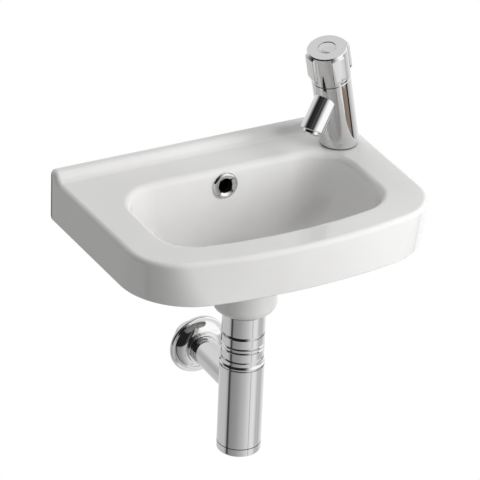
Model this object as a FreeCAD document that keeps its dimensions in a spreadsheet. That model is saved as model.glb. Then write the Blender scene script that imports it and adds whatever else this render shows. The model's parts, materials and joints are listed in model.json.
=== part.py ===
import FreeCAD, Part
import math
import os
import re
import Sketcher
from FreeCAD import Placement, Rotation, Vector

# Wall-hung hand basin with a leaning pillar tap, push-open waste and bottle trap.
# The origin is the middle of the two wall bolt holes, on the wall face.
# X runs along the wall, +Y goes into the wall and +Z is up. Millimetres and degrees.

# Driving sizes: name, value
SIZES = [
    # ceramic body, seen from above and from the side
    ("basin_width", 360),
    ("basin_depth", 249),
    ("bolt_to_top", 35),
    ("upstand_rise", 10),
    ("upstand_flat", 5.2),
    ("upstand_slope_angle", 55),
    ("upstand_round", 6),
    ("upstand_cove", 9),
    ("skirt_height", 50),
    ("skirt_wall", 9),
    ("back_wall", 12),
    ("deck_thickness", 10),
    ("shoulder_radius", 5.5),
    ("top_corner", 50),
    ("top_bow", 600),
    ("top_setback", 3.5),
    ("foot_corner", 81),
    ("foot_bow", 660),
    ("foot_edge_round", 1.5),
    ("foot_back_round", 6),
    ("side_draw", 5),
    ("front_reach", 99),
    # bowl
    ("side_land", 46),
    ("bowl_rear", 58),
    ("front_land", 40),
    ("bowl_rear_corner", 48),
    ("bowl_front_corner", 42),
    ("bowl_bow", 540),
    ("bowl_wall", 9),
    ("bowl_depth", 92),
    ("bowl_lip", 8),
    ("dish_width", 84),
    ("dish_length", 71),
    ("dish_corner", 32),
    # waste outlet boss under the bowl
    ("drain_side", 5),
    ("drain_distance", 105),
    ("boss_radius", 36),
    ("boss_height", 57.5),
    ("boss_round", 11),
    ("drain_bore", 23),
    ("seat_radius", 32.5),
    ("seat_depth", 5),
    # overflow hole and its channel behind the bowl
    ("overflow_drop", 19),
    ("overflow_hole", 12),
    ("overflow_tilt_angle", 5),
    ("channel_width", 26),
    ("channel_back", 41),
    ("channel_skin", 7.5),
    ("channel_bend_rise", 7),
    ("channel_sump", 33),
    ("channel_window", 16),
    ("duct_wall", 6),
    # holes in the ceramic for fixing
    ("wall_bolt_spacing", 200),
    ("wall_bolt_hole", 6),
    ("tap_inset", 35),
    ("tap_distance", 51.7),
    ("tap_hole", 17.5),
    # overflow ring
    ("ring_radius", 15),
    ("ring_thickness", 3),
    ("ring_gap", 0.3),
    ("ring_round", 2),
    ("ring_bore", 8),
    ("ring_barrel", 11),
    ("ring_barrel_wall", 1.6),
    ("ring_barrel_length", 9),
    ("ring_tab_width", 3),
    ("ring_tab_height", 2.4),
    # push-open waste
    ("flange_radius", 31.5),
    ("flange_thickness", 3),
    ("flange_seal_thickness", 2),
    ("tail_radius", 21),
    ("tail_bore", 17.5),
    ("tail_overhang", 33.5),
    ("slot_width", 11),
    ("slot_height", 18),
    ("slot_drop", 31),
    ("spider_thickness", 4),
    ("spider_hub", 10),
    ("spider_window_angle", 50),
    ("spider_drop", 38),
    ("guide_radius", 7),
    ("guide_length", 26),
    ("guide_above_spider", 12),
    ("guide_collar", 9),
    ("guide_collar_thickness", 2),
    ("stem_radius", 4),
    ("plug_radius", 30),
    ("plug_thickness", 5),
    ("plug_gap", 0.4),
    ("plug_seal_outer", 17.1),
    ("plug_seal_inner", 12),
    ("plug_seal_height", 3),
    # nuts between the boss and the trap
    ("boss_washer_thickness", 1.5),
    ("boss_washer_outer", 23.6),
    ("sleeve_radius", 24.1),
    ("backnut_length", 24.4),
    ("backnut_bevel", 1.6),
    ("thread_play", 0.1),
    ("coupling_gap", 3.8),
    ("coupling_length", 26.4),
    ("groove_drop", 10),
    ("groove_width", 2.6),
    ("groove_depth", 1.8),
    ("bead_width", 2.2),
    ("seal_thickness", 2),
    ("tube_flange", 20.2),
    ("tube_flange_thickness", 2),
    ("shoulder_thickness", 3),
    # bottle trap
    ("tube_radius", 16),
    ("tube_wall", 1),
    ("tube_play", 0.3),
    ("tube_depth", 108),
    ("collar_gap", 0.6),
    ("collar_neck", 2),
    ("collar_height", 8.3),
    ("collar_waist", 22.6),
    ("collar_cove", 7),
    ("trap_neck_radius", 20),
    ("trap_neck_height", 7),
    ("trap_radius", 25),
    ("trap_wall", 2),
    ("trap_height", 99),
    ("trap_lid", 3),
    ("cup_height", 10.5),
    ("cup_round", 2),
    ("cup_spigot_height", 9),
    ("cup_wall", 2),
    ("cup_seal_thickness", 1),
    ("outlet_drop", 32.5),
    ("pipe_end_gap", 1.5),
    ("wall_stub", 25),
    ("stub_mark_width", 0.8),
    ("stub_mark_depth", 0.2),
    ("rosette_radius", 35),
    ("rosette_rim", 4),
    ("rosette_rim_round", 2),
    ("rosette_rim_width", 4.5),
    ("rosette_dome", 14),
    ("rosette_hub_height", 12),
    ("rosette_height", 15),
    ("rosette_hub", 21),
    ("rosette_lip", 19),
    ("rosette_wall", 1.2),
    # pillar tap
    ("tap_lean_angle", 16.2),
    ("tap_turn_angle", 207.5),
    ("foot_radius", 21.75),
    ("foot_height", 8),
    ("foot_round", 1),
    ("base_seal_radius", 20.8),
    ("base_seal_thickness", 1.2),
    ("barrel_radius", 21.6),
    ("barrel_length", 84.7),
    ("barrel_bevel", 0.8),
    ("spout_radius", 13),
    ("spout_drop_angle", 47.1),
    ("spout_end_angle", 12),
    ("spout_length", 54),
    ("spout_height", 70.5),
    ("spout_bore", 6.5),
    ("spout_mouth", 9.3),
    ("spout_mouth_depth", 8),
    ("aerator_projection", 4.6),
    ("aerator_wall", 1.6),
    ("screen_thickness", 3),
    ("screen_hole", 1.2),
    ("screen_ring", 4.5),
    ("waterway_radius", 6),
    ("seat_height", 50),
    ("headwork_radius", 9.8),
    ("headwork_thread_foot", 69),
    ("headwork_thread_length", 12),
    ("headwork_neck", 7.8),
    ("headwork_neck_length", 10),
    ("head_chamber", 12.4),
    ("head_window_width", 7),
    ("head_window_height", 9),
    ("head_seal_thickness", 2),
    ("disc_radius", 8),
    ("disc_thickness", 2.6),
    ("disc_film", 0.05),
    ("disc_port", 2.2),
    ("disc_port_offset", 4.6),
    ("running_fit", 0.05),
    ("spindle_radius", 4),
    ("spindle_foot", 3),
    ("spindle_head_play", 0.3),
    ("spindle_ring_radius", 5.6),
    ("spindle_ring_thickness", 2.4),
    ("knob_gap", 0.6),
    ("knob_height", 39.4),
    ("knob_radius", 22),
    ("knob_wall", 2.6),
    ("knob_top", 6.5),
    ("knob_bevel", 1),
    ("knob_hub", 7.5),
    ("knob_hub_length", 18),
    ("lobe_rise", 2.1),
    ("lobe_width", 15.5),
    ("lobe_bevel", 5),
    ("lobe_top_gap", 1.4),
    ("lobe_foot_gap", 3),
    ("lobe_start_angle", 63.2),
    ("button_radius", 9.8),
    ("button_thickness", 2.4),
    ("button_dish", 0.8),
    ("screw_radius", 2),
    ("screw_head_radius", 3.6),
    ("screw_head_height", 2.6),
    ("screw_length", 12),
    # tap fixing below the deck
    ("shank_radius", 10.4),
    ("shank_bore", 6.5),
    ("shank_grip", 6),
    ("shank_below", 46),
    ("under_washer_radius", 19),
    ("under_washer_thickness", 3),
    ("clamp_washer_thickness", 2),
    ("tap_nut_flats", 30),
    ("tap_nut_height", 8),
    # cuts run past the faces that they open by this much
    ("overrun", 2),
]

doc = FreeCAD.newDocument("hand_basin")
sheet = doc.addObject("Spreadsheet::Sheet", "sizes")
for row, (alias, amount) in enumerate(SIZES, start=1):
    sheet.set(f"A{row}", str(amount))
    sheet.setAlias(f"A{row}", alias)
doc.recompute()
ALIASES = {alias for alias, amount in SIZES}

# Levels and places that follow from the driving sizes, written as expressions
DECK = "(bolt_to_top - upstand_rise)"
FOOT = f"({DECK} - skirt_height)"
LEAN = "sin(upstand_slope_angle)"
DIP = "(1 - cos(upstand_slope_angle))"
SLOPE_RUN = f"((upstand_rise - (upstand_round + upstand_cove) * {DIP}) / tan(upstand_slope_angle))"
COVE_FOOT = f"(upstand_flat + (upstand_round + upstand_cove) * {LEAN} + {SLOPE_RUN})"
TAPER = "(side_draw / basin_depth)"
SIDE_STRAIGHT = "(basin_depth - front_reach)"
TOP_FRONT = "(basin_depth - top_setback)"
BOWL_HALF = "(basin_width / 2 - side_land)"
BOWL_FRONT = "(basin_depth - front_land)"
DISH_REAR = "(drain_distance - dish_length / 2)"
DISH_FRONT = "(drain_distance + dish_length / 2)"
BEND = "(bowl_depth - channel_bend_rise)"
SUMP = "(bowl_depth + channel_sump)"
TAP_SIDE = "(basin_width / 2 - tap_inset)"
FLOOR = f"({DECK} - bowl_depth)"
BOSS_FOOT = f"({FLOOR} - boss_height)"
SEAT = f"({FLOOR} - seat_depth)"
FLANGE_FOOT = f"({SEAT} + flange_seal_thickness)"
FLANGE_TOP = f"({FLANGE_FOOT} + flange_thickness)"
TAIL_FOOT = f"({BOSS_FOOT} - tail_overhang)"
BACKNUT_TOP = f"({BOSS_FOOT} - boss_washer_thickness)"
COUPLING_TOP = f"({BACKNUT_TOP} - backnut_length - coupling_gap)"
COUPLING_FOOT = f"({COUPLING_TOP} - coupling_length)"
TUBE_TOP = f"({TAIL_FOOT} - seal_thickness)"
COLLAR_TOP = f"({COUPLING_FOOT} - collar_gap)"
COLLAR_FOOT = f"({COLLAR_TOP} - 2 * collar_neck - collar_height)"
TRAP_FOOT = f"({COLLAR_FOOT} - trap_height)"
CUP_TOP = f"({TRAP_FOOT} - cup_seal_thickness)"
OUTLET = f"({COLLAR_FOOT} - outlet_drop)"
THREAD_BORE = "(tail_radius + thread_play)"
KNOB_FOOT = "(barrel_length + knob_gap)"
KNOB_TOP = f"({KNOB_FOOT} + knob_height)"
DISC_SEAT = "(seat_height + head_seal_thickness)"
SPINDLE_SEAT = f"({DISC_SEAT} + 2 * disc_thickness)"
SPINDLE_TOP = f"({KNOB_TOP} - knob_top - screw_radius)"
HEAD_TOP = "(headwork_thread_foot + headwork_thread_length)"
SCREW_SEAT = f"({KNOB_TOP} - button_thickness - screw_head_height)"
PLUG_FOOT = f"({FLANGE_TOP} + plug_gap)"
SPIDER_TOP = f"({FLANGE_TOP} - spider_drop + spider_thickness)"
GUIDE_TOP = f"({SPIDER_TOP} + guide_above_spider)"
CUP_FOOT = f"({TRAP_FOOT} - cup_height)"


def linked(text):
    """The expression with each size named in the sheet."""
    return re.sub(r"[a-z_]+", lambda word: f"sizes.{word[0]}" if word[0] in ALIASES else word[0], text)


def number(text):
    """What an expression comes to now."""
    return float(sheet.evalExpression(linked(text)))


# Helpers for bodies and sketches
def new_body(label):
    body = doc.addObject("PartDesign::Body", label)
    body.Label = label
    return body


def base_plane(body, role):
    return next(item for item in body.Origin.OriginFeatures if item.Role == role)


def new_sketch(body, name, role, height=None):
    """An empty sketch on one of the body's own planes, lifted to a height."""
    sketch = body.newObject("Sketcher::SketchObject", name)
    sketch.AttachmentSupport = [(base_plane(body, role), "")]
    sketch.MapMode = "FlatFace"
    if height is not None:
        sketch.setExpression("AttachmentOffset.Base.z", linked(height))
    return sketch


def bind(sketch, kind, *places, text):
    """A sketch dimension that follows an expression."""
    amount = number(text)
    if abs(amount) < 1e-9 and kind in ("DistanceX", "DistanceY"):
        axis = -2 if kind == "DistanceX" else -1
        sketch.addConstraint(Sketcher.Constraint("PointOnObject", places[-2], places[-1], axis))
        return
    index = sketch.addConstraint(Sketcher.Constraint(kind, *places, amount))
    sketch.setExpression(f"Constraints[{index}]", linked(text))


def outline(sketch, corners):
    """A closed outline through the corners (across, up). A third and fourth
    entry make the edge that arrives at the corner an arc of that radius, which
    bulges to the right (1) or to the left (-1) of its direction."""
    count = len(corners)
    at = [Vector(number(corner[0]), number(corner[1]), 0) for corner in corners]
    ends = []
    for index, corner in enumerate(corners):
        start, end = at[index - 1], at[index]
        if len(corner) == 2:
            sketch.addGeometry(Part.LineSegment(start, end), False)
            ends.append((1, 2))
            continue
        radius, side = number(corner[2]), corner[3]
        chord = end - start
        inward = Vector(-chord.y, chord.x, 0).normalize() * side
        centre = (start + end) / 2 + inward * math.sqrt(max(radius ** 2 - chord.Length ** 2 / 4, 0))
        first, last = (start, end) if side > 0 else (end, start)
        begin = math.atan2(first.y - centre.y, first.x - centre.x)
        finish = math.atan2(last.y - centre.y, last.x - centre.x)
        circle = Part.Circle(centre, Vector(0, 0, 1), radius)
        sketch.addGeometry(Part.ArcOfCircle(circle, begin, finish), False)
        ends.append((1, 2) if side > 0 else (2, 1))
    for index in range(count):
        after = (index + 1) % count
        sketch.addConstraint(Sketcher.Constraint("Coincident", index, ends[index][1], after, ends[after][0]))
        bind(sketch, "DistanceX", -1, 1, index, ends[index][1], text=corners[index][0])
        bind(sketch, "DistanceY", -1, 1, index, ends[index][1], text=corners[index][1])
        if len(corners[index]) > 2:
            bind(sketch, "Radius", index, text=corners[index][2])


def last_edges(body, keep):
    """The names of the edges of the newest feature that a test picks."""
    doc.recompute()
    shape = body.Tip.Shape
    return [f"Edge{index}" for index, edge in enumerate(shape.Edges, start=1) if keep(edge)]


def soften(body, name, keep, radius, kind="Fillet"):
    """A fillet or a chamfer on the edges that a test picks."""
    names = last_edges(body, keep)
    if not names:
        raise RuntimeError(f"{body.Label} has no edge for {name}")
    before = body.Tip
    feature = body.newObject(f"PartDesign::{kind}", name)
    feature.Base = (before, names)
    feature.setExpression("Radius" if kind == "Fillet" else "Size", linked(radius))
    body.Tip = feature
    doc.recompute()
    return feature


def ring_edge(radius, height):
    """Picks circular edges about Z of one radius at one height."""
    def keep(edge):
        curve = edge.Curve
        if not isinstance(curve, Part.Circle):
            return False
        centred = math.hypot(curve.Center.x, curve.Center.y) < 1e-3
        level = abs(curve.Center.z - number(height)) < 1e-3
        return centred and level and abs(curve.Radius - number(radius)) < 1e-3
    return keep


def turned(label, corners, place=None):
    """A turned piece: a half section (radius, height) revolved about Z."""
    body = new_body(label)
    sketch = new_sketch(body, f"{label}_section", "XZ_Plane")
    outline(sketch, corners)
    feature = body.newObject("PartDesign::Revolution", f"{label}_turning")
    feature.Profile = sketch
    feature.ReferenceAxis = (sketch, ["V_Axis"])
    feature.Angle = 360
    body.Tip = feature
    if place:
        body.Placement = place
    doc.recompute()
    return body


def tube(label, inner, outer, low, high, place):
    """A plain ring or tube."""
    return turned(label, [(inner, low), (outer, low), (outer, high), (inner, high)], place)


def cut(body, name, corners, role, height, depth, reverse=False, midplane=False):
    """A pocket with a straight or arced outline."""
    sketch = new_sketch(body, f"{name}_outline", role, height)
    outline(sketch, corners)
    return cut_sketch(body, name, sketch, depth, reverse, midplane)


def cut_sketch(body, name, sketch, depth, reverse=False, midplane=False):
    doc.recompute()
    before = body.Tip.Shape.Volume
    feature = body.newObject("PartDesign::Pocket", name)
    feature.Profile = sketch
    feature.setExpression("Length", linked(depth))
    feature.Reversed = reverse
    feature.Midplane = midplane
    body.Tip = feature
    doc.recompute()
    if not feature.Shape.Volume < before - 1e-3:
        raise RuntimeError(f"{name} cuts nothing")
    return feature


def circle_sketch(body, name, role, height, across, up, radius):
    sketch = new_sketch(body, name, role, height)
    middle = Vector(number(across), number(up), 0)
    sketch.addGeometry(Part.Circle(middle, Vector(0, 0, 1), number(radius)), False)
    bind(sketch, "DistanceX", -1, 1, 0, 3, text=across)
    bind(sketch, "DistanceY", -1, 1, 0, 3, text=up)
    bind(sketch, "Radius", 0, text=radius)
    return sketch


def drill(body, name, role, height, across, up, radius, depth, reverse=False, midplane=False):
    """A round hole."""
    sketch = circle_sketch(body, f"{name}_circle", role, height, across, up, radius)
    return cut_sketch(body, name, sketch, depth, reverse, midplane)


def pad(body, name, sketch, length, reverse=False, midplane=False):
    feature = body.newObject("PartDesign::Pad", name)
    feature.Profile = sketch
    feature.setExpression("Length", linked(length))
    feature.Reversed = reverse
    feature.Midplane = midplane
    body.Tip = feature
    doc.recompute()
    return feature


def repeat(body, name, feature, count, turn=360):
    """Copies of one feature about the body's Z axis."""
    pattern = body.newObject("PartDesign::PolarPattern", name)
    pattern.Originals = [feature]
    axis = next(item for item in body.Origin.OriginFeatures if item.Role == "Z_Axis")
    pattern.Axis = (axis, [""])
    pattern.Angle = turn
    pattern.Occurrences = count
    body.Tip = pattern
    doc.recompute()
    return pattern


# Plan outlines of the ceramic
def plan(body, name, height, half, front, front_corner, bow, rear="0", rear_corner=None, taper="0"):
    """Seen from above: a straight back, straight sides that may draw in from the
    wall, round corners, and a bowed front that bulges away from the wall.
    Distances are measured from the wall, where the sides are half apart."""
    sketch = new_sketch(body, name, "XY_Plane", height)
    wide, near, far = number(half), -number(rear), -number(front)
    corner, curve, draw = number(front_corner), number(bow), number(taper)
    back = number(rear_corner) if rear_corner else 0
    centre = Vector(0, far + curve, 0)
    # the front corner's centre runs along the side, one radius inside it
    along = Vector(-draw, -1, 0).normalize()
    inward = Vector(along.y, -along.x, 0)
    start = Vector(wide, 0, 0) + inward * corner - centre
    reach = -start.dot(along) + math.sqrt(start.dot(along) ** 2 - start.dot(start) + (curve - corner) ** 2)
    middle = start + along * reach
    joint = centre + middle * (curve / (curve - corner))
    middle = centre + middle
    side_end = middle - inward * corner
    side_start = Vector(wide + draw * (near - back), near - back, 0)
    tip = math.atan2(joint.y - middle.y, joint.x - middle.x)
    side_turn = math.atan2(side_end.y - middle.y, side_end.x - middle.x)
    sweep = math.atan2(joint.y - centre.y, joint.x - centre.x)
    up = Vector(0, 0, 1)

    def arc(x, y, radius, begin, end):
        circle = Part.Circle(Vector(x, y, 0), up, radius)
        return Part.ArcOfCircle(circle, begin, end)

    def mirrored(point):
        return Vector(-point.x, point.y, 0)

    # counter-clockwise: back, left corner, left side, front corners and front
    shapes = [Part.LineSegment(Vector(side_start.x - back, near, 0), Vector(back - side_start.x, near, 0))]
    ends = [(1, 2)]
    if back:
        shapes.append(arc(back - wide, near - back, back, math.pi / 2, math.pi))
        ends.append((1, 2))
    left = len(shapes)
    shapes.append(Part.LineSegment(mirrored(side_start), mirrored(side_end)))
    shapes.append(arc(-middle.x, middle.y, corner, math.pi - side_turn, math.pi - tip))
    shapes.append(arc(0, centre.y, curve, math.pi - sweep, sweep + 2 * math.pi))
    shapes.append(arc(middle.x, middle.y, corner, tip, side_turn))
    shapes.append(Part.LineSegment(side_end, side_start))
    ends += [(1, 2)] * 5
    right = len(shapes) - 1
    if back:
        shapes.append(arc(wide - back, near - back, back, 0, math.pi / 2))
        ends.append((1, 2))
    for shape in shapes:
        sketch.addGeometry(shape, False)
    count = len(shapes)
    for index in range(count):
        after = (index + 1) % count
        sharp = not back and 0 in (index, after)
        kind = "Coincident" if sharp else "Tangent"
        sketch.addConstraint(Sketcher.Constraint(kind, index, 2, after, 1))
    sketch.addConstraint(Sketcher.Constraint("Horizontal", 0))
    for side, index, place in (("-", left, 1), ("", right, 2)):
        bind(sketch, "DistanceX", -1, 1, index, place, text=f"{side}({half} - {taper} * ({rear}))")
        if draw:
            # the side's line passes through a point on the wall
            mark = sketch.addGeometry(Part.Point(Vector(float(f"{side}1") * wide, 0, 0)), True)
            bind(sketch, "DistanceX", -1, 1, mark, 1, text=f"{side}({half})")
            sketch.addConstraint(Sketcher.Constraint("PointOnObject", mark, 1, -1))
            sketch.addConstraint(Sketcher.Constraint("PointOnObject", mark, 1, index))
        else:
            sketch.addConstraint(Sketcher.Constraint("Vertical", index))
    bind(sketch, "DistanceY", -1, 1, 0, 1, text=f"-({rear})")
    bind(sketch, "Radius", left + 1, text=front_corner)
    bind(sketch, "Radius", left + 3, text=front_corner)
    bind(sketch, "Radius", left + 2, text=bow)
    bind(sketch, "DistanceX", -1, 1, left + 2, 3, text="0")
    bind(sketch, "DistanceY", -1, 1, left + 2, 3, text=f"{bow} - ({front})")
    if back:
        bind(sketch, "Radius", left - 1, text=rear_corner)
        bind(sketch, "Radius", right + 1, text=rear_corner)
    return sketch


def loft(body, name, sketches, add=True, ruled=False):
    kind = "AdditiveLoft" if add else "SubtractiveLoft"
    feature = body.newObject(f"PartDesign::{kind}", name)
    feature.Profile = sketches[0]
    feature.Sections = sketches[1:]
    feature.Ruled = ruled
    body.Tip = feature
    doc.recompute()
    return feature


# Bowl stations from the rim down to the dish round the drain. Each row has the
# share of the bowl's depth, then how far the sides, the back and the front have
# drawn in, as shares of the way from the rim's outline to the dish's.
BOWL_STATION_SHARES = [
    (0.00, 0.00, 0.00, 0.00),
    (0.32, 0.07, 0.25, 0.09),
    (0.62, 0.19, 0.50, 0.25),
    (0.85, 0.45, 0.80, 0.55),
    (0.96, 0.76, 0.95, 0.82),
    (1.00, 1.00, 1.00, 1.00),
]


def bowl_sections(body, name, wall, first_height):
    """Sketches of the bowl's inner face, or of its outer face with a wall."""
    sketches = []
    for index, (down, side, rear, front) in enumerate(BOWL_STATION_SHARES):
        height = f"{DECK} - bowl_depth * {down} - {wall}" if index else first_height
        sketches.append(plan(
            body, f"{name}_{index}", height,
            half=f"{BOWL_HALF} - ({BOWL_HALF} - dish_width / 2) * {side} + {wall}",
            front=f"{BOWL_FRONT} - ({BOWL_FRONT} - {DISH_FRONT}) * {front} + {wall}",
            front_corner=f"bowl_front_corner - (bowl_front_corner - dish_corner) * {down} + {wall}",
            bow=f"bowl_bow + {wall}",
            rear=f"bowl_rear + ({DISH_REAR} - bowl_rear) * {rear} - {wall}",
            rear_corner=f"bowl_rear_corner - (bowl_rear_corner - dish_corner) * {down} + {wall}",
        ))
    return sketches


def make_basin():
    body = new_body("basin")
    back = new_sketch(body, "back_plan", "XY_Plane", FOOT)
    at_back = f"(basin_width / 2 + {TAPER} * overrun)"
    at_joint = f"(basin_width / 2 - {TAPER} * {SIDE_STRAIGHT})"
    outline(back, [
        (f"-{at_back}", "overrun"),
        (f"-{at_joint}", f"-{SIDE_STRAIGHT}"),
        (at_joint, f"-{SIDE_STRAIGHT}"),
        (at_back, "overrun"),
    ])
    pad(body, "back_block", back, "skirt_height + upstand_rise")
    foot = plan(body, "foot_plan", FOOT, "basin_width / 2", "basin_depth",
                "foot_corner", "foot_bow", rear=SIDE_STRAIGHT, taper=TAPER)
    top = plan(body, "top_plan", "bolt_to_top", "basin_width / 2", TOP_FRONT,
               "top_corner", "top_bow", rear=SIDE_STRAIGHT, taper=TAPER)
    loft(body, "front_block", [foot, top], ruled=True)

    # side section above the deck: a flat top, a round, a slope and a cove down to
    # the deck leave the upstand along the wall
    cut(body, "deck_cut", [
        ("-upstand_flat", "bolt_to_top"),
        (f"-(upstand_flat + upstand_round * {LEAN})",
         f"bolt_to_top - upstand_round * {DIP}", "upstand_round", 1),
        (f"-({COVE_FOOT} - upstand_cove * {LEAN})", f"{DECK} + upstand_cove * {DIP}"),
        (f"-{COVE_FOOT}", DECK, "upstand_cove", -1),
        ("-(basin_depth + overrun)", DECK),
        ("-(basin_depth + overrun)", "bolt_to_top + overrun"),
        ("-upstand_flat", "bolt_to_top + overrun"),
    ], "YZ_Plane", None, "basin_width + 2 * overrun", midplane=True)

    half, deck = number("basin_width / 2"), number(DECK)

    def outside(edge):
        middle = edge.CenterOfMass
        at_side = abs(middle.x) > half - number("side_draw")
        return middle.y < 0 and (at_side or middle.y < -number(SIDE_STRAIGHT))

    soften(body, "shoulder_fillet", lambda edge: outside(edge) and edge.BoundBox.ZMin > deck - 1e-3,
           "shoulder_radius")
    below = number(FOOT) + 1e-3
    soften(body, "foot_fillet", lambda edge: outside(edge) and edge.BoundBox.ZMax < below, "foot_edge_round")

    # the back is cut flush with the wall, and its lower edge is round
    cut(body, "back_cut", [
        ("-(basin_width / 2 + overrun)", f"{FOOT} - overrun"),
        ("basin_width / 2 + overrun", f"{FOOT} - overrun"),
        ("basin_width / 2 + overrun", "bolt_to_top + overrun"),
        ("-(basin_width / 2 + overrun)", "bolt_to_top + overrun"),
    ], "XZ_Plane", None, "2 * overrun")
    cut(body, "foot_back_cut", [
        ("-foot_back_round", f"{FOOT} - overrun"),
        ("overrun", f"{FOOT} - overrun"),
        ("overrun", f"{FOOT} + foot_back_round"),
        ("0", f"{FOOT} + foot_back_round"),
        ("-foot_back_round", FOOT, "foot_back_round", -1),
    ], "YZ_Plane", None, "basin_width + 2 * overrun", midplane=True)

    # hollow under the deck, behind the skirt
    inner_foot = plan(body, "inner_foot_plan", f"{FOOT} - overrun", "basin_width / 2 - skirt_wall",
                      "basin_depth - skirt_wall", "foot_corner - skirt_wall",
                      "foot_bow - skirt_wall", rear="back_wall", taper=TAPER)
    inner_top = plan(body, "inner_top_plan", f"{DECK} - deck_thickness", "basin_width / 2 - skirt_wall",
                     f"{TOP_FRONT} - skirt_wall", "top_corner - skirt_wall",
                     "top_bow - skirt_wall", rear="back_wall", taper=TAPER)
    loft(body, "under_hollow", [inner_foot, inner_top], add=False, ruled=True)

    # outside of the bowl, the outlet boss, and the overflow duct on the bowl's back
    loft(body, "bowl_outside",
         bowl_sections(body, "bowl_outer", "bowl_wall", f"{DECK} - deck_thickness / 2"))
    boss = circle_sketch(body, "boss_circle", "XY_Plane", BOSS_FOOT,
                         "drain_side", "-drain_distance", "boss_radius")
    pad(body, "boss", boss, "boss_height - seat_depth")
    duct = new_sketch(body, "duct_outline", "YZ_Plane")
    outline(duct, [
        ("-(channel_back - duct_wall)", f"{DECK} - deck_thickness / 2"),
        ("-(channel_back - duct_wall)", f"{DECK} - {BEND} - duct_wall / 2"),
        ("-(drain_distance - drain_bore - duct_wall / 2)", f"{DECK} - {SUMP} - duct_wall"),
        ("-drain_distance", f"{DECK} - {SUMP} - duct_wall"),
        ("-drain_distance", SEAT),
        ("-(bowl_rear + duct_wall)", f"{DECK} - {BEND} + channel_window"),
        ("-bowl_rear", f"{DECK} - deck_thickness / 2"),
    ])
    pad(body, "duct", duct, "channel_width + 2 * duct_wall", midplane=True)

    # inside of the bowl, the seat and bore of the waste
    loft(body, "bowl_inside", bowl_sections(body, "bowl_inner", "0", f"{DECK} + overrun"), add=False)

    def rim(edge):
        box = edge.BoundBox
        level = abs(box.ZMin - deck) < 1e-3 and abs(box.ZMax - deck) < 1e-3
        middle = edge.CenterOfMass
        inside = abs(middle.x) < number(BOWL_HALF) * 1.001
        between = -number(BOWL_FRONT) * 1.001 < middle.y < -number("bowl_rear") * 0.95
        return level and inside and between

    soften(body, "lip_fillet", rim, "bowl_lip")
    drill(body, "seat", "XY_Plane", SEAT, "drain_side", "-drain_distance", "seat_radius",
          "seat_depth + overrun", reverse=True)
    drill(body, "drain", "XY_Plane", f"{BOSS_FOOT} - overrun", "drain_side", "-drain_distance", "drain_bore",
          "boss_height + overrun", reverse=True)

    def boss_foot(edge):
        curve = edge.Curve
        if not isinstance(curve, Part.Circle):
            return False
        return (abs(curve.Radius - number("boss_radius")) < 1e-3
                and abs(curve.Center.z - number(BOSS_FOOT)) < 1e-3)

    soften(body, "boss_fillet", boss_foot, "boss_round")

    # overflow: hole through the bowl's back, and the channel down to the waste
    cut(body, "overflow_channel", [
        ("-channel_back", f"{DECK} - deck_thickness"),
        ("-channel_back", f"{DECK} - {BEND}"),
        ("-(drain_distance - drain_bore - duct_wall)", f"{DECK} - {SUMP}"),
        ("-(drain_distance - drain_bore / 2)", f"{DECK} - {SUMP}"),
        ("-(drain_distance - drain_bore / 2)", f"{DECK} - {SUMP} + channel_window"),
        (f"-({DISH_REAR} - duct_wall / 2)", f"{DECK} - {SUMP} + channel_window + duct_wall"),
        ("-(bowl_rear - channel_skin + duct_wall)", f"{DECK} - {BEND} + channel_window"),
        ("-(bowl_rear - channel_skin)", f"{DECK} - deck_thickness"),
    ], "YZ_Plane", None, "channel_width", midplane=True)
    drill(body, "overflow_opening", "XZ_Plane", "channel_back + duct_wall", "0", f"{DECK} - overflow_drop",
          "overflow_hole", "bowl_rear - channel_back", reverse=True)

    # fixing holes
    drill(body, "tap_opening", "XY_Plane", f"{DECK} - deck_thickness - overrun", TAP_SIDE, "-tap_distance",
          "tap_hole", "deck_thickness + 2 * overrun", reverse=True)
    for name, side in (("left", "-"), ("right", "")):
        drill(body, f"{name}_wall_bolt_hole", "XZ_Plane", "-overrun", f"{side}wall_bolt_spacing / 2", "0",
              "wall_bolt_hole", "back_wall + 2 * overrun", reverse=True)
    return body


# Frames of the piece groups
def at_drain():
    """On the waste's axis, with heights as in the whole part."""
    return Placement(Vector(number("drain_side"), -number("drain_distance"), 0), Rotation())


def at_outlet():
    """On the outlet pipe's axis at the wall, with Z out of the wall."""
    return Placement(Vector(number("drain_side"), 0, number(OUTLET)), Rotation(Vector(1, 0, 0), 90))


def at_overflow():
    """In the middle of the overflow hole, with Z out of the bowl's back."""
    down, side, rear, front = BOWL_STATION_SHARES[1]
    run = f"({DISH_REAR} - bowl_rear) * {rear} * overflow_drop / (bowl_depth * {down})"
    out = number(f"bowl_rear + {run} + ring_gap")
    turn = Rotation(Vector(1, 0, 0), 90 - number("overflow_tilt_angle"))
    return Placement(Vector(0, -out, number(f"{DECK} - overflow_drop")), turn)


def at_tap():
    """On the deck under the tap, with X the way that the spout points."""
    place = Vector(number(TAP_SIDE), -number("tap_distance"), number(DECK))
    return Placement(place, Rotation(Vector(0, 0, 1), number("tap_turn_angle")))


def along_tap(turn=0):
    """On the tap's leaning axis, from the top of its foot."""
    lean = Placement(Vector(0, 0, number("foot_height")),
                     Rotation(Vector(0, 1, 0), number("tap_lean_angle")))
    return at_tap() * lean * Placement(Vector(), Rotation(Vector(0, 0, 1), turn))


def spout_in_tap():
    """The spout's axis in the tap's own frame, from the leaning axis."""
    lean = Placement(Vector(0, 0, number("foot_height")),
                     Rotation(Vector(0, 1, 0), number("tap_lean_angle")))
    start = lean.multVec(Vector(0, 0, number("spout_height")))
    return Placement(start, Rotation(Vector(0, 1, 0), 90 + number("spout_drop_angle")))


def mouth_in_tap():
    """The middle of the spout's end, which is cut more steeply than the spout."""
    end = Placement(Vector(0, 0, number("spout_length")),
                    Rotation(Vector(0, 1, 0), number("spout_end_angle")))
    return spout_in_tap() * end


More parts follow.
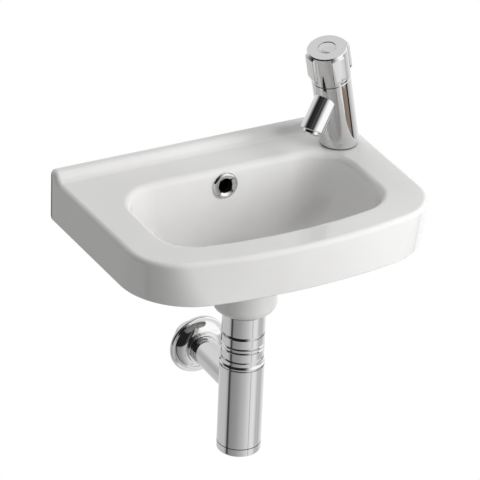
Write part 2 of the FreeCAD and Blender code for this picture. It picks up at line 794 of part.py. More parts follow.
def add_cylinder(body, name, radius, length, place, add=True):
    """A cylinder at any angle, added to the body or cut from it."""
    kind = "AdditiveCylinder" if add else "SubtractiveCylinder"
    feature = body.newObject(f"PartDesign::{kind}", name)
    feature.setExpression("Radius", linked(radius))
    feature.setExpression("Height", linked(length))
    feature.Placement = place
    body.Tip = feature
    doc.recompute()
    return feature


# Overflow
def make_overflow_ring():
    body = turned("overflow_ring", [
        ("ring_barrel - ring_barrel_wall", "-ring_barrel_length"),
        ("ring_barrel", "-ring_barrel_length"),
        ("ring_barrel", "0"),
        ("ring_radius", "0"),
        ("ring_radius", "ring_thickness - ring_round"),
        ("ring_radius - ring_round", "ring_thickness", "ring_round", 1),
        ("ring_bore + ring_round", "ring_thickness"),
        ("ring_bore", "ring_thickness - ring_round", "ring_round", 1),
        ("ring_bore", "-ring_barrel_wall"),
        ("ring_barrel - ring_barrel_wall", "-ring_barrel_wall"),
    ], at_overflow())
    tab = new_sketch(body, "tab_outline", "XY_Plane", "-ring_barrel_wall")
    outline(tab, [
        ("ring_bore - ring_tab_height", "-ring_tab_width / 2"),
        ("ring_bore + ring_barrel_wall / 2", "-ring_tab_width / 2"),
        ("ring_bore + ring_barrel_wall / 2", "ring_tab_width / 2"),
        ("ring_bore - ring_tab_height", "ring_tab_width / 2"),
    ])
    repeat(body, "tabs", pad(body, "tab", tab, "ring_barrel_wall"), 4)


# Push-open waste
def make_waste():
    here = at_drain()
    body = turned("waste_body", [
        ("tail_bore", TAIL_FOOT),
        ("tail_radius", TAIL_FOOT),
        ("tail_radius", FLANGE_FOOT),
        ("flange_radius", FLANGE_FOOT),
        ("flange_radius", f"{FLANGE_TOP} - flange_thickness / 3"),
        ("flange_radius - flange_thickness / 3", FLANGE_TOP),
        ("tail_bore + flange_thickness", FLANGE_TOP),
        ("tail_bore", f"{FLANGE_TOP} - flange_thickness"),
    ], here)
    web = circle_sketch(body, "spider_circle", "XY_Plane", f"{SPIDER_TOP} - spider_thickness", "0", "0",
                        "(tail_bore + tail_radius) / 2")
    pad(body, "spider", web, "spider_thickness")
    drill(body, "guide_hole", "XY_Plane", f"{SPIDER_TOP} + overrun", "0", "0", "guide_radius",
          "spider_thickness + 2 * overrun")
    inner, outer = "spider_hub", "tail_bore"
    window = cut(body, "spider_opening", [
        (f"{inner} * cos(spider_window_angle)", f"-{inner} * sin(spider_window_angle)", inner, -1),
        (f"{outer} * cos(spider_window_angle)", f"-{outer} * sin(spider_window_angle)"),
        (f"{outer} * cos(spider_window_angle)", f"{outer} * sin(spider_window_angle)", outer, 1),
        (f"{inner} * cos(spider_window_angle)", f"{inner} * sin(spider_window_angle)"),
    ], "XY_Plane", f"{SPIDER_TOP} + overrun", "spider_thickness + 2 * overrun")
    repeat(body, "spider_openings", window, 3)
    slot = cut(body, "overflow_slot", [
        ("-slot_width / 2", f"{FLANGE_TOP} - slot_drop"),
        ("slot_width / 2", f"{FLANGE_TOP} - slot_drop"),
        ("slot_width / 2", f"{FLANGE_TOP} - slot_drop + slot_height"),
        ("-slot_width / 2", f"{FLANGE_TOP} - slot_drop + slot_height"),
    ], "XZ_Plane", None, "tail_radius + overrun")
    repeat(body, "overflow_slots", slot, 4)

    tube("flange_seal", "tail_radius + thread_play", "flange_radius - overrun / 2", SEAT, FLANGE_FOOT, here)
    turned("plug_guide", [
        ("stem_radius + running_fit", f"{GUIDE_TOP} - guide_length"),
        ("guide_radius", f"{GUIDE_TOP} - guide_length"),
        ("guide_radius", SPIDER_TOP),
        ("guide_collar", SPIDER_TOP),
        ("guide_collar", f"{SPIDER_TOP} + guide_collar_thickness"),
        ("guide_radius", f"{SPIDER_TOP} + guide_collar_thickness"),
        ("guide_radius", GUIDE_TOP),
        ("stem_radius + running_fit", GUIDE_TOP),
    ], here)
    turned("waste_plug", [
        ("0", PLUG_FOOT),
        ("plug_radius", PLUG_FOOT),
        ("plug_radius", f"{PLUG_FOOT} + plug_thickness / 2"),
        ("plug_radius - plug_thickness / 2", f"{PLUG_FOOT} + plug_thickness", "plug_thickness / 2", 1),
        ("0", f"{PLUG_FOOT} + plug_thickness + plug_gap"),
    ], here)
    tube("plug_seal", "plug_seal_inner", "plug_seal_outer",
         f"{PLUG_FOOT} - plug_seal_height", PLUG_FOOT, here)
    turned("plug_stem", [
        ("0", f"{GUIDE_TOP} - guide_length + overrun"),
        ("stem_radius", f"{GUIDE_TOP} - guide_length + overrun"),
        ("stem_radius", PLUG_FOOT),
        ("0", PLUG_FOOT),
    ], here)


# Nuts under the boss
def make_nuts():
    here = at_drain()
    tube("boss_washer", "tail_radius + thread_play", "boss_washer_outer", BACKNUT_TOP, BOSS_FOOT, here)
    turned("waste_backnut", [
        (THREAD_BORE, f"{BACKNUT_TOP} - backnut_length"),
        ("sleeve_radius", f"{BACKNUT_TOP} - backnut_length"),
        ("sleeve_radius", f"{BACKNUT_TOP} - backnut_bevel"),
        ("sleeve_radius - backnut_bevel", BACKNUT_TOP),
        (THREAD_BORE, BACKNUT_TOP),
    ], here)
    groove = f"({COUPLING_TOP} - groove_drop)"
    second = f"({groove} - groove_width - bead_width)"
    ledge = f"({TUBE_TOP} - tube_flange_thickness)"
    turned("coupling_nut", [
        (THREAD_BORE, COUPLING_FOOT),
        ("sleeve_radius", COUPLING_FOOT),
        ("sleeve_radius", f"{second} - groove_width"),
        ("sleeve_radius - groove_depth", f"{second} - groove_width / 2"),
        ("sleeve_radius", second),
        ("sleeve_radius", f"{groove} - groove_width"),
        ("sleeve_radius - groove_depth", f"{groove} - groove_width / 2"),
        ("sleeve_radius", groove),
        ("sleeve_radius", COUPLING_TOP),
        (THREAD_BORE, COUPLING_TOP),
        (THREAD_BORE, ledge),
        ("tube_radius + tube_play", ledge),
        ("tube_radius + tube_play", f"{ledge} - shoulder_thickness"),
        (THREAD_BORE, f"{ledge} - shoulder_thickness"),
    ], here)
    tube("coupling_seal", "tube_radius", "tube_flange", TUBE_TOP, TAIL_FOOT, here)


# Bottle trap
def make_trap():
    here = at_drain()
    turned("dip_tube", [
        ("tube_radius - tube_wall", f"{TUBE_TOP} - tube_depth"),
        ("tube_radius", f"{TUBE_TOP} - tube_depth"),
        ("tube_radius", f"{TUBE_TOP} - tube_flange_thickness"),
        ("tube_flange", f"{TUBE_TOP} - tube_flange_thickness"),
        ("tube_flange", TUBE_TOP),
        ("tube_radius - tube_wall", TUBE_TOP),
    ], here)
    neck_bore = "trap_neck_radius + thread_play"
    turned("collar_nut", [
        (neck_bore, COLLAR_FOOT),
        ("collar_waist", COLLAR_FOOT),
        ("collar_waist", f"{COLLAR_FOOT} + collar_neck"),
        ("trap_radius", f"{COLLAR_FOOT} + collar_neck"),
        ("trap_radius", f"{COLLAR_FOOT} + collar_neck + collar_height / 6"),
        ("sleeve_radius", f"{COLLAR_FOOT} + collar_neck + collar_height * 5 / 6", "collar_cove", -1),
        ("sleeve_radius", f"{COLLAR_FOOT} + collar_neck + collar_height"),
        ("collar_waist", f"{COLLAR_FOOT} + collar_neck + collar_height"),
        ("collar_waist", COLLAR_TOP),
        ("tube_radius + tube_play", COLLAR_TOP),
        ("tube_radius + tube_play", f"{COLLAR_TOP} - shoulder_thickness"),
        (neck_bore, f"{COLLAR_TOP} - shoulder_thickness"),
    ], here)
    tube("collar_seal", "tube_radius", "trap_neck_radius", f"{COLLAR_FOOT} + trap_neck_height",
         f"{COLLAR_TOP} - shoulder_thickness", here)
    body = turned("trap_body", [
        ("trap_radius - trap_wall", TRAP_FOOT),
        ("trap_radius", TRAP_FOOT),
        ("trap_radius", COLLAR_FOOT),
        ("trap_neck_radius", COLLAR_FOOT),
        ("trap_neck_radius", f"{COLLAR_FOOT} + trap_neck_height"),
        ("tube_radius + tube_play", f"{COLLAR_FOOT} + trap_neck_height"),
        ("tube_radius + tube_play", f"{COLLAR_FOOT} - trap_lid"),
        ("trap_radius - trap_wall", f"{COLLAR_FOOT} - trap_lid"),
    ], here)
    drill(body, "outlet_hole", "XZ_Plane", None, "0", OUTLET, "tube_radius", "trap_radius + overrun")
    spigot = "(trap_radius - trap_wall - thread_play)"
    turned("trap_cup", [
        ("0", CUP_FOOT),
        ("trap_radius - cup_round", CUP_FOOT),
        ("trap_radius", f"{CUP_FOOT} + cup_round", "cup_round", 1),
        ("trap_radius", CUP_TOP),
        (spigot, CUP_TOP),
        (spigot, f"{CUP_TOP} + cup_spigot_height"),
        (f"{spigot} - cup_wall", f"{CUP_TOP} + cup_spigot_height"),
        (f"{spigot} - cup_wall", f"{CUP_FOOT} + cup_wall"),
        ("0", f"{CUP_FOOT} + cup_wall"),
    ], here)
    tube("cup_seal", spigot, "trap_radius - trap_wall / 4", CUP_TOP, TRAP_FOOT, here)

    wall = at_outlet()
    pipe_end = "(drain_distance - tube_radius - pipe_end_gap)"
    turned("outlet_pipe", [
        ("tube_radius - tube_wall", "-wall_stub"),
        ("tube_radius", "-wall_stub"),
        ("tube_radius", "0"),
        ("tube_radius - stub_mark_depth", "0"),
        ("tube_radius - stub_mark_depth", "stub_mark_width"),
        ("tube_radius", "stub_mark_width"),
        ("tube_radius", pipe_end),
        ("tube_radius - tube_wall", pipe_end),
    ], wall)
    inner_rim = "(rosette_radius - rosette_rim_width)"
    turned("wall_rosette", [
        ("rosette_radius - rosette_wall", "0"),
        ("rosette_radius", "0"),
        ("rosette_radius", "rosette_rim - rosette_rim_round"),
        ("rosette_radius - rosette_rim_round", "rosette_rim", "rosette_rim_round", 1),
        (inner_rim, "rosette_rim"),
        ("rosette_hub", "rosette_hub_height", "rosette_dome", 1),
        ("rosette_lip", "rosette_hub_height"),
        ("rosette_lip", "rosette_height"),
        ("tube_radius + tube_play", "rosette_height"),
        ("tube_radius + tube_play", "rosette_hub_height - rosette_wall"),
        ("rosette_hub - rosette_wall", "rosette_hub_height - rosette_wall"),
        (f"{inner_rim} - rosette_wall", "rosette_rim - rosette_wall", "rosette_dome - rosette_wall", -1),
        ("rosette_radius - rosette_wall", "rosette_rim - rosette_wall"),
    ], wall)


# Pillar tap
def make_tap_body():
    body = new_body("tap_body")
    body.Placement = at_tap()
    lean = Placement(Vector(0, 0, number("foot_height")),
                     Rotation(Vector(0, 1, 0), number("tap_lean_angle")))
    below = Placement(Vector(0, 0, -number("barrel_radius")), Rotation())
    add_cylinder(body, "barrel", "barrel_radius", "barrel_length + barrel_radius", lean * below)
    drill(body, "level_foot", "XY_Plane", "foot_height", "0", "0", "2 * barrel_radius", "2 * barrel_radius")
    foot = circle_sketch(body, "foot_circle", "XY_Plane", "base_seal_thickness", "0", "0", "foot_radius")
    pad(body, "foot", foot, "foot_height - base_seal_thickness")
    add_cylinder(body, "spout", "spout_radius", "spout_length + spout_radius", spout_in_tap())
    add_cylinder(body, "spout_end", "2 * spout_radius", "2 * spout_radius", mouth_in_tap(), add=False)

    def rims(edge):
        top = isinstance(edge.Curve, Part.Circle) and abs(edge.Curve.Radius - number("barrel_radius")) < 1e-4
        oval = isinstance(edge.Curve, Part.Ellipse)
        end = oval and abs(edge.Curve.MinorRadius - number("spout_radius")) < 1e-4
        return edge.isClosed() and (top or end)

    soften(body, "rim_bevel", rims, "barrel_bevel", "Chamfer")
    soften(body, "foot_fillet", ring_edge("foot_radius", "base_seal_thickness"), "foot_round")

    # waterways: up the foot, up the leaning barrel to the valve, and down the spout
    drill(body, "shank_hole", "XY_Plane", "base_seal_thickness", "0", "0", "shank_radius", "shank_grip",
          reverse=True)
    add_cylinder(body, "waterway", "waterway_radius", "seat_height + overrun", lean, add=False)
    seat = Placement(Vector(0, 0, number("seat_height")), Rotation())
    add_cylinder(body, "head_bore", "head_chamber", "barrel_length - seat_height + overrun",
                 lean * seat, add=False)
    inside = Placement(Vector(0, 0, number("spout_bore")), Rotation())
    add_cylinder(body, "spout_way", "spout_bore", "spout_length - spout_bore",
                 spout_in_tap() * inside, add=False)
    mouth = Placement(Vector(0, 0, -number("spout_mouth_depth")), Rotation())
    add_cylinder(body, "spout_recess", "spout_mouth", "spout_mouth_depth + overrun",
                 mouth_in_tap() * mouth, add=False)


def make_aerator():
    here = at_tap() * mouth_in_tap()
    low, high = "-spout_mouth_depth", "aerator_projection"
    shell = "(spout_mouth - thread_play)"
    inside = f"({shell} - aerator_wall)"
    turned("aerator_housing", [
        (inside, low),
        (shell, low),
        (shell, f"{high} - aerator_wall"),
        (f"{shell} - aerator_wall / 2", high),
        (inside, high),
    ], here)
    face = f"({high} - aerator_wall)"
    body = turned("aerator_insert", [
        ("0", f"{face} - screen_thickness"),
        (inside, f"{face} - screen_thickness"),
        (inside, face),
        ("0", face),
    ], here)
    hole = drill(body, "jet", "XY_Plane", f"{face} + overrun", "screen_ring", "0", "screen_hole",
                 "screen_thickness + 2 * overrun")
    repeat(body, "jets", hole, 8)


def make_headwork():
    here = along_tap()
    bore = "(spindle_radius + running_fit)"
    cavity = "(disc_radius + running_fit)"
    roof = f"({SPINDLE_SEAT} + spindle_foot + spindle_head_play)"
    neck_top = f"({HEAD_TOP} + headwork_neck_length)"
    groove_low = f"({HEAD_TOP} + spindle_ring_thickness)"
    groove_high = f"({HEAD_TOP} + 2 * spindle_ring_thickness)"
    tube("headwork_seal", "waterway_radius", "headwork_radius", "seat_height", DISC_SEAT, here)
    body = turned("headwork", [
        (cavity, DISC_SEAT),
        ("headwork_radius", DISC_SEAT),
        ("headwork_radius", "headwork_thread_foot"),
        ("head_chamber", "headwork_thread_foot"),
        ("head_chamber", HEAD_TOP),
        ("headwork_neck", HEAD_TOP),
        ("headwork_neck", neck_top),
        (bore, neck_top),
        (bore, groove_high),
        ("spindle_ring_radius", groove_high),
        ("spindle_ring_radius", groove_low),
        (bore, groove_low),
        (bore, roof),
        (cavity, roof),
    ], here)
    window = cut(body, "head_window", [
        ("-head_window_width / 2", SPINDLE_SEAT),
        ("head_window_width / 2", SPINDLE_SEAT),
        ("head_window_width / 2", f"{SPINDLE_SEAT} + head_window_height"),
        ("-head_window_width / 2", f"{SPINDLE_SEAT} + head_window_height"),
    ], "XZ_Plane", None, "headwork_radius + overrun")
    repeat(body, "head_windows", window, 2)
    for label, low, high in (
        ("fixed_disc", DISC_SEAT, f"({DISC_SEAT} + disc_thickness)"),
        ("moving_disc", f"({SPINDLE_SEAT} - disc_thickness + disc_film)", SPINDLE_SEAT),
    ):
        body = turned(label, [
            ("0", low),
            ("disc_radius", low),
            ("disc_radius", high),
            ("0", high),
        ], here)
        port = drill(body, f"{label}_port", "XY_Plane", f"{high} + overrun", "disc_port_offset",
                     "0", "disc_port", "disc_thickness + 2 * overrun")
        repeat(body, f"{label}_ports", port, 2)
    turned("spindle", [
        ("0", SPINDLE_SEAT),
        ("disc_radius", SPINDLE_SEAT),
        ("disc_radius", f"{SPINDLE_SEAT} + spindle_foot"),
        ("spindle_radius", f"{SPINDLE_SEAT} + spindle_foot"),
        ("spindle_radius", SPINDLE_TOP),
        ("screw_radius", SPINDLE_TOP),
        ("screw_radius", f"{SCREW_SEAT} - screw_length - overrun"),
        ("0", f"{SCREW_SEAT} - screw_length - overrun"),
    ], here)
    tube("spindle_ring", bore, "spindle_ring_radius", groove_low, groove_high, here)


def make_knob():
    here = along_tap(number("lobe_start_angle"))
    hollow = "(knob_radius - knob_wall)"
    ceiling = f"({KNOB_TOP} - knob_top)"
    recess = "(button_radius + thread_play)"
    hub_foot = f"({ceiling} - knob_hub_length)"
    body = turned("tap_knob", [
        (hollow, KNOB_FOOT),
        ("knob_radius", KNOB_FOOT),
        ("knob_radius", f"{KNOB_TOP} - knob_bevel"),
        ("knob_radius - knob_bevel", KNOB_TOP),
        (recess, KNOB_TOP),
        (recess, SCREW_SEAT),
        ("screw_radius", SCREW_SEAT),
        ("screw_radius", SPINDLE_TOP),
        ("spindle_radius", SPINDLE_TOP),
        ("spindle_radius", hub_foot),
        ("knob_hub", hub_foot),
        ("knob_hub", ceiling),
        (hollow, ceiling),
    ], here)
    root = "(knob_radius - knob_wall * 3 / 4)"
    lobe = new_sketch(body, "lobe_outline", "XZ_Plane")
    outline(lobe, [
        (root, f"{KNOB_FOOT} + lobe_foot_gap"),
        ("knob_radius", f"{KNOB_FOOT} + lobe_foot_gap"),
        ("knob_radius + lobe_rise", f"{KNOB_FOOT} + lobe_foot_gap + lobe_bevel"),
        ("knob_radius + lobe_rise", f"{KNOB_TOP} - lobe_top_gap - lobe_rise"),
        ("knob_radius", f"{KNOB_TOP} - lobe_top_gap"),
        (root, f"{KNOB_TOP} - lobe_top_gap"),
    ])
    repeat(body, "lobes", pad(body, "lobe", lobe, "lobe_width", midplane=True), 4)
    low = f"({KNOB_TOP} - button_thickness)"
    turned("knob_button", [
        ("0", low),
        ("button_radius", low),
        ("button_radius", f"{KNOB_TOP} - button_dish / 2"),
        ("button_radius - button_dish", KNOB_TOP),
        ("0", f"{KNOB_TOP} - button_dish"),
    ], here)
    turned("knob_screw", [
        ("0", f"{SCREW_SEAT} - screw_length"),
        ("screw_radius", f"{SCREW_SEAT} - screw_length"),
        ("screw_radius", SCREW_SEAT),
        ("screw_head_radius", SCREW_SEAT),
        ("screw_head_radius", f"{SCREW_SEAT} + screw_head_height"),
        ("0", f"{SCREW_SEAT} + screw_head_height"),
    ], here)


def make_tap_fixing():
    here = at_tap()
    around = "(shank_radius + thread_play)"
    under = "-deck_thickness"
    clamp = f"({under} - under_washer_thickness)"
    nut_top = f"({clamp} - clamp_washer_thickness)"
    tube("tap_base_seal", around, "base_seal_radius", "0", "base_seal_thickness", here)
    tube("tap_shank", "shank_bore", "shank_radius", "-shank_below", "base_seal_thickness + shank_grip", here)
    tube("deck_washer", around, "under_washer_radius", clamp, under, here)
    tube("clamp_washer", around, "under_washer_radius - overrun / 2", nut_top, clamp, here)
    body = new_body("tap_backnut")
    body.Placement = here
    flats = new_sketch(body, "flats_outline", "XY_Plane", nut_top)
    corner, side = "tap_nut_flats / 2 / cos(30)", "tap_nut_flats / 2"
    outline(flats, [
        (corner, "0"),
        (f"{corner} / 2", side),
        (f"-{corner} / 2", side),
        (f"-{corner}", "0"),
        (f"-{corner} / 2", f"-{side}"),
        (f"{corner} / 2", f"-{side}"),
    ])
    pad(body, "nut", flats, "tap_nut_height", reverse=True)
    drill(body, "nut_bore", "XY_Plane", f"{nut_top} + overrun", "0", "0", around,
          "tap_nut_height + 2 * overrun")


make_basin()
make_overflow_ring()
make_waste()
make_nuts()
make_trap()
make_tap_body()
make_aerator()
make_headwork()
make_knob()
make_tap_fixing()
doc.recompute()

# Every object has to be sound before anything is written
failed = [item.Name for item in doc.Objects if {"Invalid", "Error"} & set(item.State)]
if failed:
    raise RuntimeError(f"failed objects: {failed}")
pieces = [item for item in doc.Objects if item.TypeId == "PartDesign::Body"]
for piece in pieces:
    shape = piece.Shape
    if shape.isNull() or not shape.isValid() or len(shape.Solids) != 1:
        raise RuntimeError(f"{piece.Label} isn't one sound solid")
os.makedirs("parts", exist_ok=True)
for piece in pieces:
    piece.Shape.exportStep(f"parts/{piece.Label}.step")
    print(f"{piece.Label:16s} {piece.Shape.Volume / 1000:9.2f} cm3 {len(piece.Shape.Faces):4d} faces")
print(f"{len(pieces)} pieces")
mouth = (number(f"2 * {BOWL_HALF}"), number(f"{BOWL_FRONT} - bowl_rear"))
print(f"bowl mouth {mouth[0]:.0f} by {mouth[1]:.0f}, depth {number('bowl_depth'):.0f}")
print(f"outlet axis is {-number(OUTLET):.1f} below the wall bolts, cup foot {-number(CUP_FOOT):.1f}")
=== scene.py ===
# %% [markdown]
# A white hand basin hangs on two wall bolts. A chromed pillar tap leans over its
# bowl, and a chromed bottle trap carries the water into the wall. The pieces come
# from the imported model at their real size. This script gives them their finishes,
# and makes again the ones whose small rounds, threads and wires catch the light.

# %% Load the frame
import json
import math

import bmesh
import bpy
from mathutils import Matrix, Vector


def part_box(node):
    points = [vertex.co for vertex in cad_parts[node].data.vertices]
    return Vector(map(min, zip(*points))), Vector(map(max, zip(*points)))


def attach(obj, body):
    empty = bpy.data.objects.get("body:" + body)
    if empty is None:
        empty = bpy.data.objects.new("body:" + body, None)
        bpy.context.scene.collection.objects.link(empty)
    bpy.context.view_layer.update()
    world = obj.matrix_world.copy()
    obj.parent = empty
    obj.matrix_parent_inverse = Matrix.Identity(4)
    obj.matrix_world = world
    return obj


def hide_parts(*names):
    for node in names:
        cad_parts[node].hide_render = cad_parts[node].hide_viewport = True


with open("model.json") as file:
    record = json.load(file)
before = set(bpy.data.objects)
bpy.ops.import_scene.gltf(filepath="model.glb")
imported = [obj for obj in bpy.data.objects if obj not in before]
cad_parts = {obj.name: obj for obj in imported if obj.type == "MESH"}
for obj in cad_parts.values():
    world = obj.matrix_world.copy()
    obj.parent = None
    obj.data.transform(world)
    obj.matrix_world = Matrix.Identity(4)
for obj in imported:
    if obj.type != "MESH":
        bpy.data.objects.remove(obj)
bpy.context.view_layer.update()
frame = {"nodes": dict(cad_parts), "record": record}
nodes = frame["nodes"]
MM = 0.001

# %% [markdown]
# Colours are written as sRGB hex, as a designer reads them from a chart. Shaders
# work in linear light, so one function turns the first into the second.


# %% Colour helper
def linear(code):
    """sRGB hex to linear RGBA."""
    parts = [int(code[start:start + 2], 16) / 255 for start in (1, 3, 5)]
    return [p / 12.92 if p <= 0.04045 else ((p + 0.055) / 1.055) ** 2.4 for p in parts] + [1.0]


print("sRGB #808080 is", round(linear("#808080")[0], 3), "in linear light")

# %% [markdown]
# A material is a graph of nodes. They could be placed by hand in the editor. Here
# one function adds a node with its values and links, so that each material reads as
# a list of its parts.


# %% Add a node
def add_node(tree, kind, inputs=None, **settings):
    """A node with its settings, and values or links for its inputs."""
    node = tree.nodes.new(kind)
    for name, value in settings.items():
        setattr(node, name, value)
    for name, value in (inputs or {}).items():
        if isinstance(value, bpy.types.NodeSocket):
            tree.links.new(value, node.inputs[name])
        else:
            node.inputs[name].default_value = value
    return node


print("add_node works in material, world and geometry trees")

# %% [markdown]
# Sums are nodes too. These three functions write them as one would write a formula.


# %% Sums in a node tree
def maths(tree, operation, *values, kind="ShaderNodeMath"):
    """The result of a sum or a comparison of numbers."""
    return add_node(tree, kind, dict(enumerate(values)), operation=operation).outputs[0]


def vector_maths(tree, operation, *values):
    """The result of a sum of vectors."""
    return maths(tree, operation, *values, kind="ShaderNodeVectorMath")


def axis_parts(tree, vector):
    """The X, Y and Z of a vector."""
    return add_node(tree, "ShaderNodeSeparateXYZ", {"Vector": vector}).outputs


print("sums of numbers and vectors, and the parts of a vector")

# %% [markdown]
# Most finishes mix colours, and vary them by a noise at the size of the real grain.
# The same noise can raise the surface a little, or change its gloss.


# %% Colours, noise and bumps
def mix_colours(tree, share, first, second):
    """A colour on the way from one to another."""
    inputs = {0: share, 6: first, 7: second}
    return add_node(tree, "ShaderNodeMix", inputs, data_type="RGBA").outputs[2]


def colour_ramp(tree, factor, stops):
    """A colour that follows a factor, from pairs of a position and a colour."""
    ramp = add_node(tree, "ShaderNodeValToRGB", {"Fac": factor})
    elements = ramp.color_ramp.elements
    while len(elements) < len(stops):
        elements.new(0.5)
    for element, (position, _) in zip(elements, stops):
        element.position = position
    for element, (_, colour) in zip(elements, stops):
        element.color = colour
    return ramp.outputs["Color"]


def noise(tree, place, grain, detail):
    """A soft noise whose spots are about as large as the grain, in metres."""
    inputs = {"Vector": place, "Scale": 1 / grain, "Detail": detail}
    return add_node(tree, "ShaderNodeTexNoise", inputs).outputs["Fac"]


def bumps(tree, height, strength, distance):
    """Normals for a surface that a height raises by up to a distance, in metres."""
    inputs = {"Height": height, "Strength": strength, "Distance": distance}
    return add_node(tree, "ShaderNodeBump", inputs).outputs["Normal"]


def spread(tree, value, low, high):
    """Stretches a share from 0 to 1 over a range."""
    inputs = {"Value": value, "To Min": low, "To Max": high}
    return add_node(tree, "ShaderNodeMapRange", inputs).outputs["Result"]


print("helpers for mixes, ramps, noise and bumps")

# %% [markdown]
# Every finish starts from the object's own coordinates, in metres, so its grain
# keeps its real size and stays on the piece when the piece moves. Every finish of
# the object ends in the Principled shader, which any other program can read.


# %% Start and end of a material
def new_material(name):
    """An empty material, its tree and output, and the object's own coordinates."""
    material = bpy.data.materials.new(name)
    material.use_nodes = True
    tree = material.node_tree
    tree.nodes.clear()
    output = add_node(tree, "ShaderNodeOutputMaterial")
    place = add_node(tree, "ShaderNodeTexCoord").outputs["Object"]
    return material, tree, output, place


def finish_material(tree, output, **inputs):
    """The surface shader, with input names written with underscores."""
    named = {name.replace("_", " "): value for name, value in inputs.items()}
    shader = add_node(tree, "ShaderNodeBsdfPrincipled", named)
    tree.links.new(shader.outputs["BSDF"], output.inputs["Surface"])


print("materials start with coordinates and end in one shader")

# %% [markdown]
# The china is glazed where it shows, but not all over. The glaze is wiped off where
# the piece stood in the kiln and where it meets the wall, so the back face and the
# foot of the skirt show bare, duller clay. No glaze reaches the inside of the
# overflow channel either, and that inside is painted dark: painted shade, as little
# light gets so deep. These places are boxes in the basin's own space. Painting them
# by hand would need an image.

# %% Places without glaze
FOOT_AWAY = 150
BASIN_FOOT = min(vertex.co.z for vertex in nodes["basin"].data.vertices
                 if abs(vertex.co.x) > FOOT_AWAY * MM) / MM
PAST_SIDE, PAST_FRONT, PAST_WALL = 200, 300, 1
BARE_BACK, BARE_TOP, BARE_FOOT = 3.2, 30, 1.2
# The channel's box is where the china is painted dark, as painted shade inside the overflow
# channel.
CHANNEL_LOW, CHANNEL_HIGH = (-14, -56, -46), (14, -38, 6)
FACES_DOWN_FROM, FACES_DOWN_TO = -0.6, -0.8


def inside_box(tree, place, low, high):
    """1 inside a box given by its corners in mm, and 0 outside."""
    middle = [(a + b) / 2 * MM for a, b in zip(low, high)]
    reach = [(b - a) / 2 * MM for a, b in zip(low, high)]
    offset = vector_maths(tree, "SUBTRACT", place, middle)
    share = vector_maths(tree, "ABSOLUTE", vector_maths(tree, "DIVIDE", offset, reach))
    parts = axis_parts(tree, share)
    most = maths(tree, "MAXIMUM", maths(tree, "MAXIMUM", parts["X"], parts["Y"]), parts["Z"])
    return maths(tree, "LESS_THAN", most, 1.0)


def bare_clay(tree, place):
    """1 on the back face and on the downward foot of the skirt, and 0 elsewhere."""
    back = inside_box(tree, place, (-PAST_SIDE, -BARE_BACK, -PAST_FRONT),
                      (PAST_SIDE, PAST_WALL, BARE_TOP))
    foot = inside_box(tree, place, (-PAST_SIDE, -PAST_FRONT, BASIN_FOOT - BARE_FOOT),
                      (PAST_SIDE, PAST_WALL, BASIN_FOOT + BARE_FOOT))
    normal = add_node(tree, "ShaderNodeNewGeometry").outputs["Normal"]
    down = add_node(tree, "ShaderNodeMapRange", {
        "Value": axis_parts(tree, normal)["Z"],
        "From Min": FACES_DOWN_FROM, "From Max": FACES_DOWN_TO}).outputs["Result"]
    return maths(tree, "MAXIMUM", back, maths(tree, "MULTIPLY", foot, down))


print("the basin's skirt stands on", round(BASIN_FOOT, 2), "mm")

# %% [markdown]
# Vitreous china is fired clay under a thick white glaze. The glaze is glass: it
# reflects lamps sharply, and it dries with a very slight ripple, like orange peel.
# A noise at the ripple's real size drives a small bump, and a slower one shifts
# the white a little, as the glaze pools thicker in some places.

# %% Glazed vitreous china
RIPPLE_SIZE, RIPPLE_HEIGHT, RIPPLE_STRENGTH, POOL_SIZE = 14, 0.4, 0.12, 90
# The darkest tone is painted shade for the inside of the overflow channel.
THIN_GLAZE, THICK_GLAZE, CLAY, CHANNEL_PAINTED_SHADE = "#f0efee", "#f4f4f3", "#b0aaa0", "#2b2926"
GLAZE_ROUGH, CLAY_ROUGH, GLAZE_IOR = 0.06, 0.7, 1.5


def make_china():
    material, tree, output, place = new_material("glazed_vitreous_china")
    pool = noise(tree, place, POOL_SIZE * MM, 2.0)
    white = colour_ramp(tree, pool, [(0.3, linear(THIN_GLAZE)), (0.7, linear(THICK_GLAZE))])
    ripple = noise(tree, place, RIPPLE_SIZE * MM, 1.0)
    bare = bare_clay(tree, place)
    channel = inside_box(tree, place, CHANNEL_LOW, CHANNEL_HIGH)
    tone = mix_colours(tree, bare, white, linear(CLAY))
    # Painted shade: the inside of the overflow channel is darkened, as light hardly reaches it.
    tone = mix_colours(tree, channel, tone, linear(CHANNEL_PAINTED_SHADE))
    finish_material(tree, output, Base_Color=tone, IOR=GLAZE_IOR,
                    Roughness=spread(tree, bare, GLAZE_ROUGH, CLAY_ROUGH),
                    Normal=bumps(tree, ripple, RIPPLE_STRENGTH, RIPPLE_HEIGHT * MM))
    return material


china = make_china()
print(china.name, "has", len(china.node_tree.nodes), "nodes")

# %% [markdown]
# Chrome plate is a mirror of cold grey metal. The brass under it was polished by
# hand, so it is never quite even: its gloss drifts over a few centimetres.

# %% Polished chrome plate
CHROME, POLISH_DRIFT = "#dadada", 30
SHARPEST, DULLEST = 0.03, 0.08


def make_chrome():
    material, tree, output, place = new_material("polished_chrome_plate")
    drift = noise(tree, place, POLISH_DRIFT * MM, 3.0)
    finish_material(tree, output, Base_Color=linear(CHROME), Metallic=1.0,
                    Roughness=spread(tree, drift, SHARPEST, DULLEST))
    return material


chrome = make_chrome()
print(chrome.name, "has", len(chrome.node_tree.nodes), "nodes")

# %% [markdown]
# Inside the tap and under the basin the metal is plain: turned brass, and the
# stainless steel of screws and screens. Tools leave fine marks, which change both
# the gloss and the surface, so one noise drives both.

# %% Machined metal
MARK_DEPTH, MARK_STRENGTH = 0.05, 0.2
LEAST_DULL, MOST_DULL = 0.7, 1.4


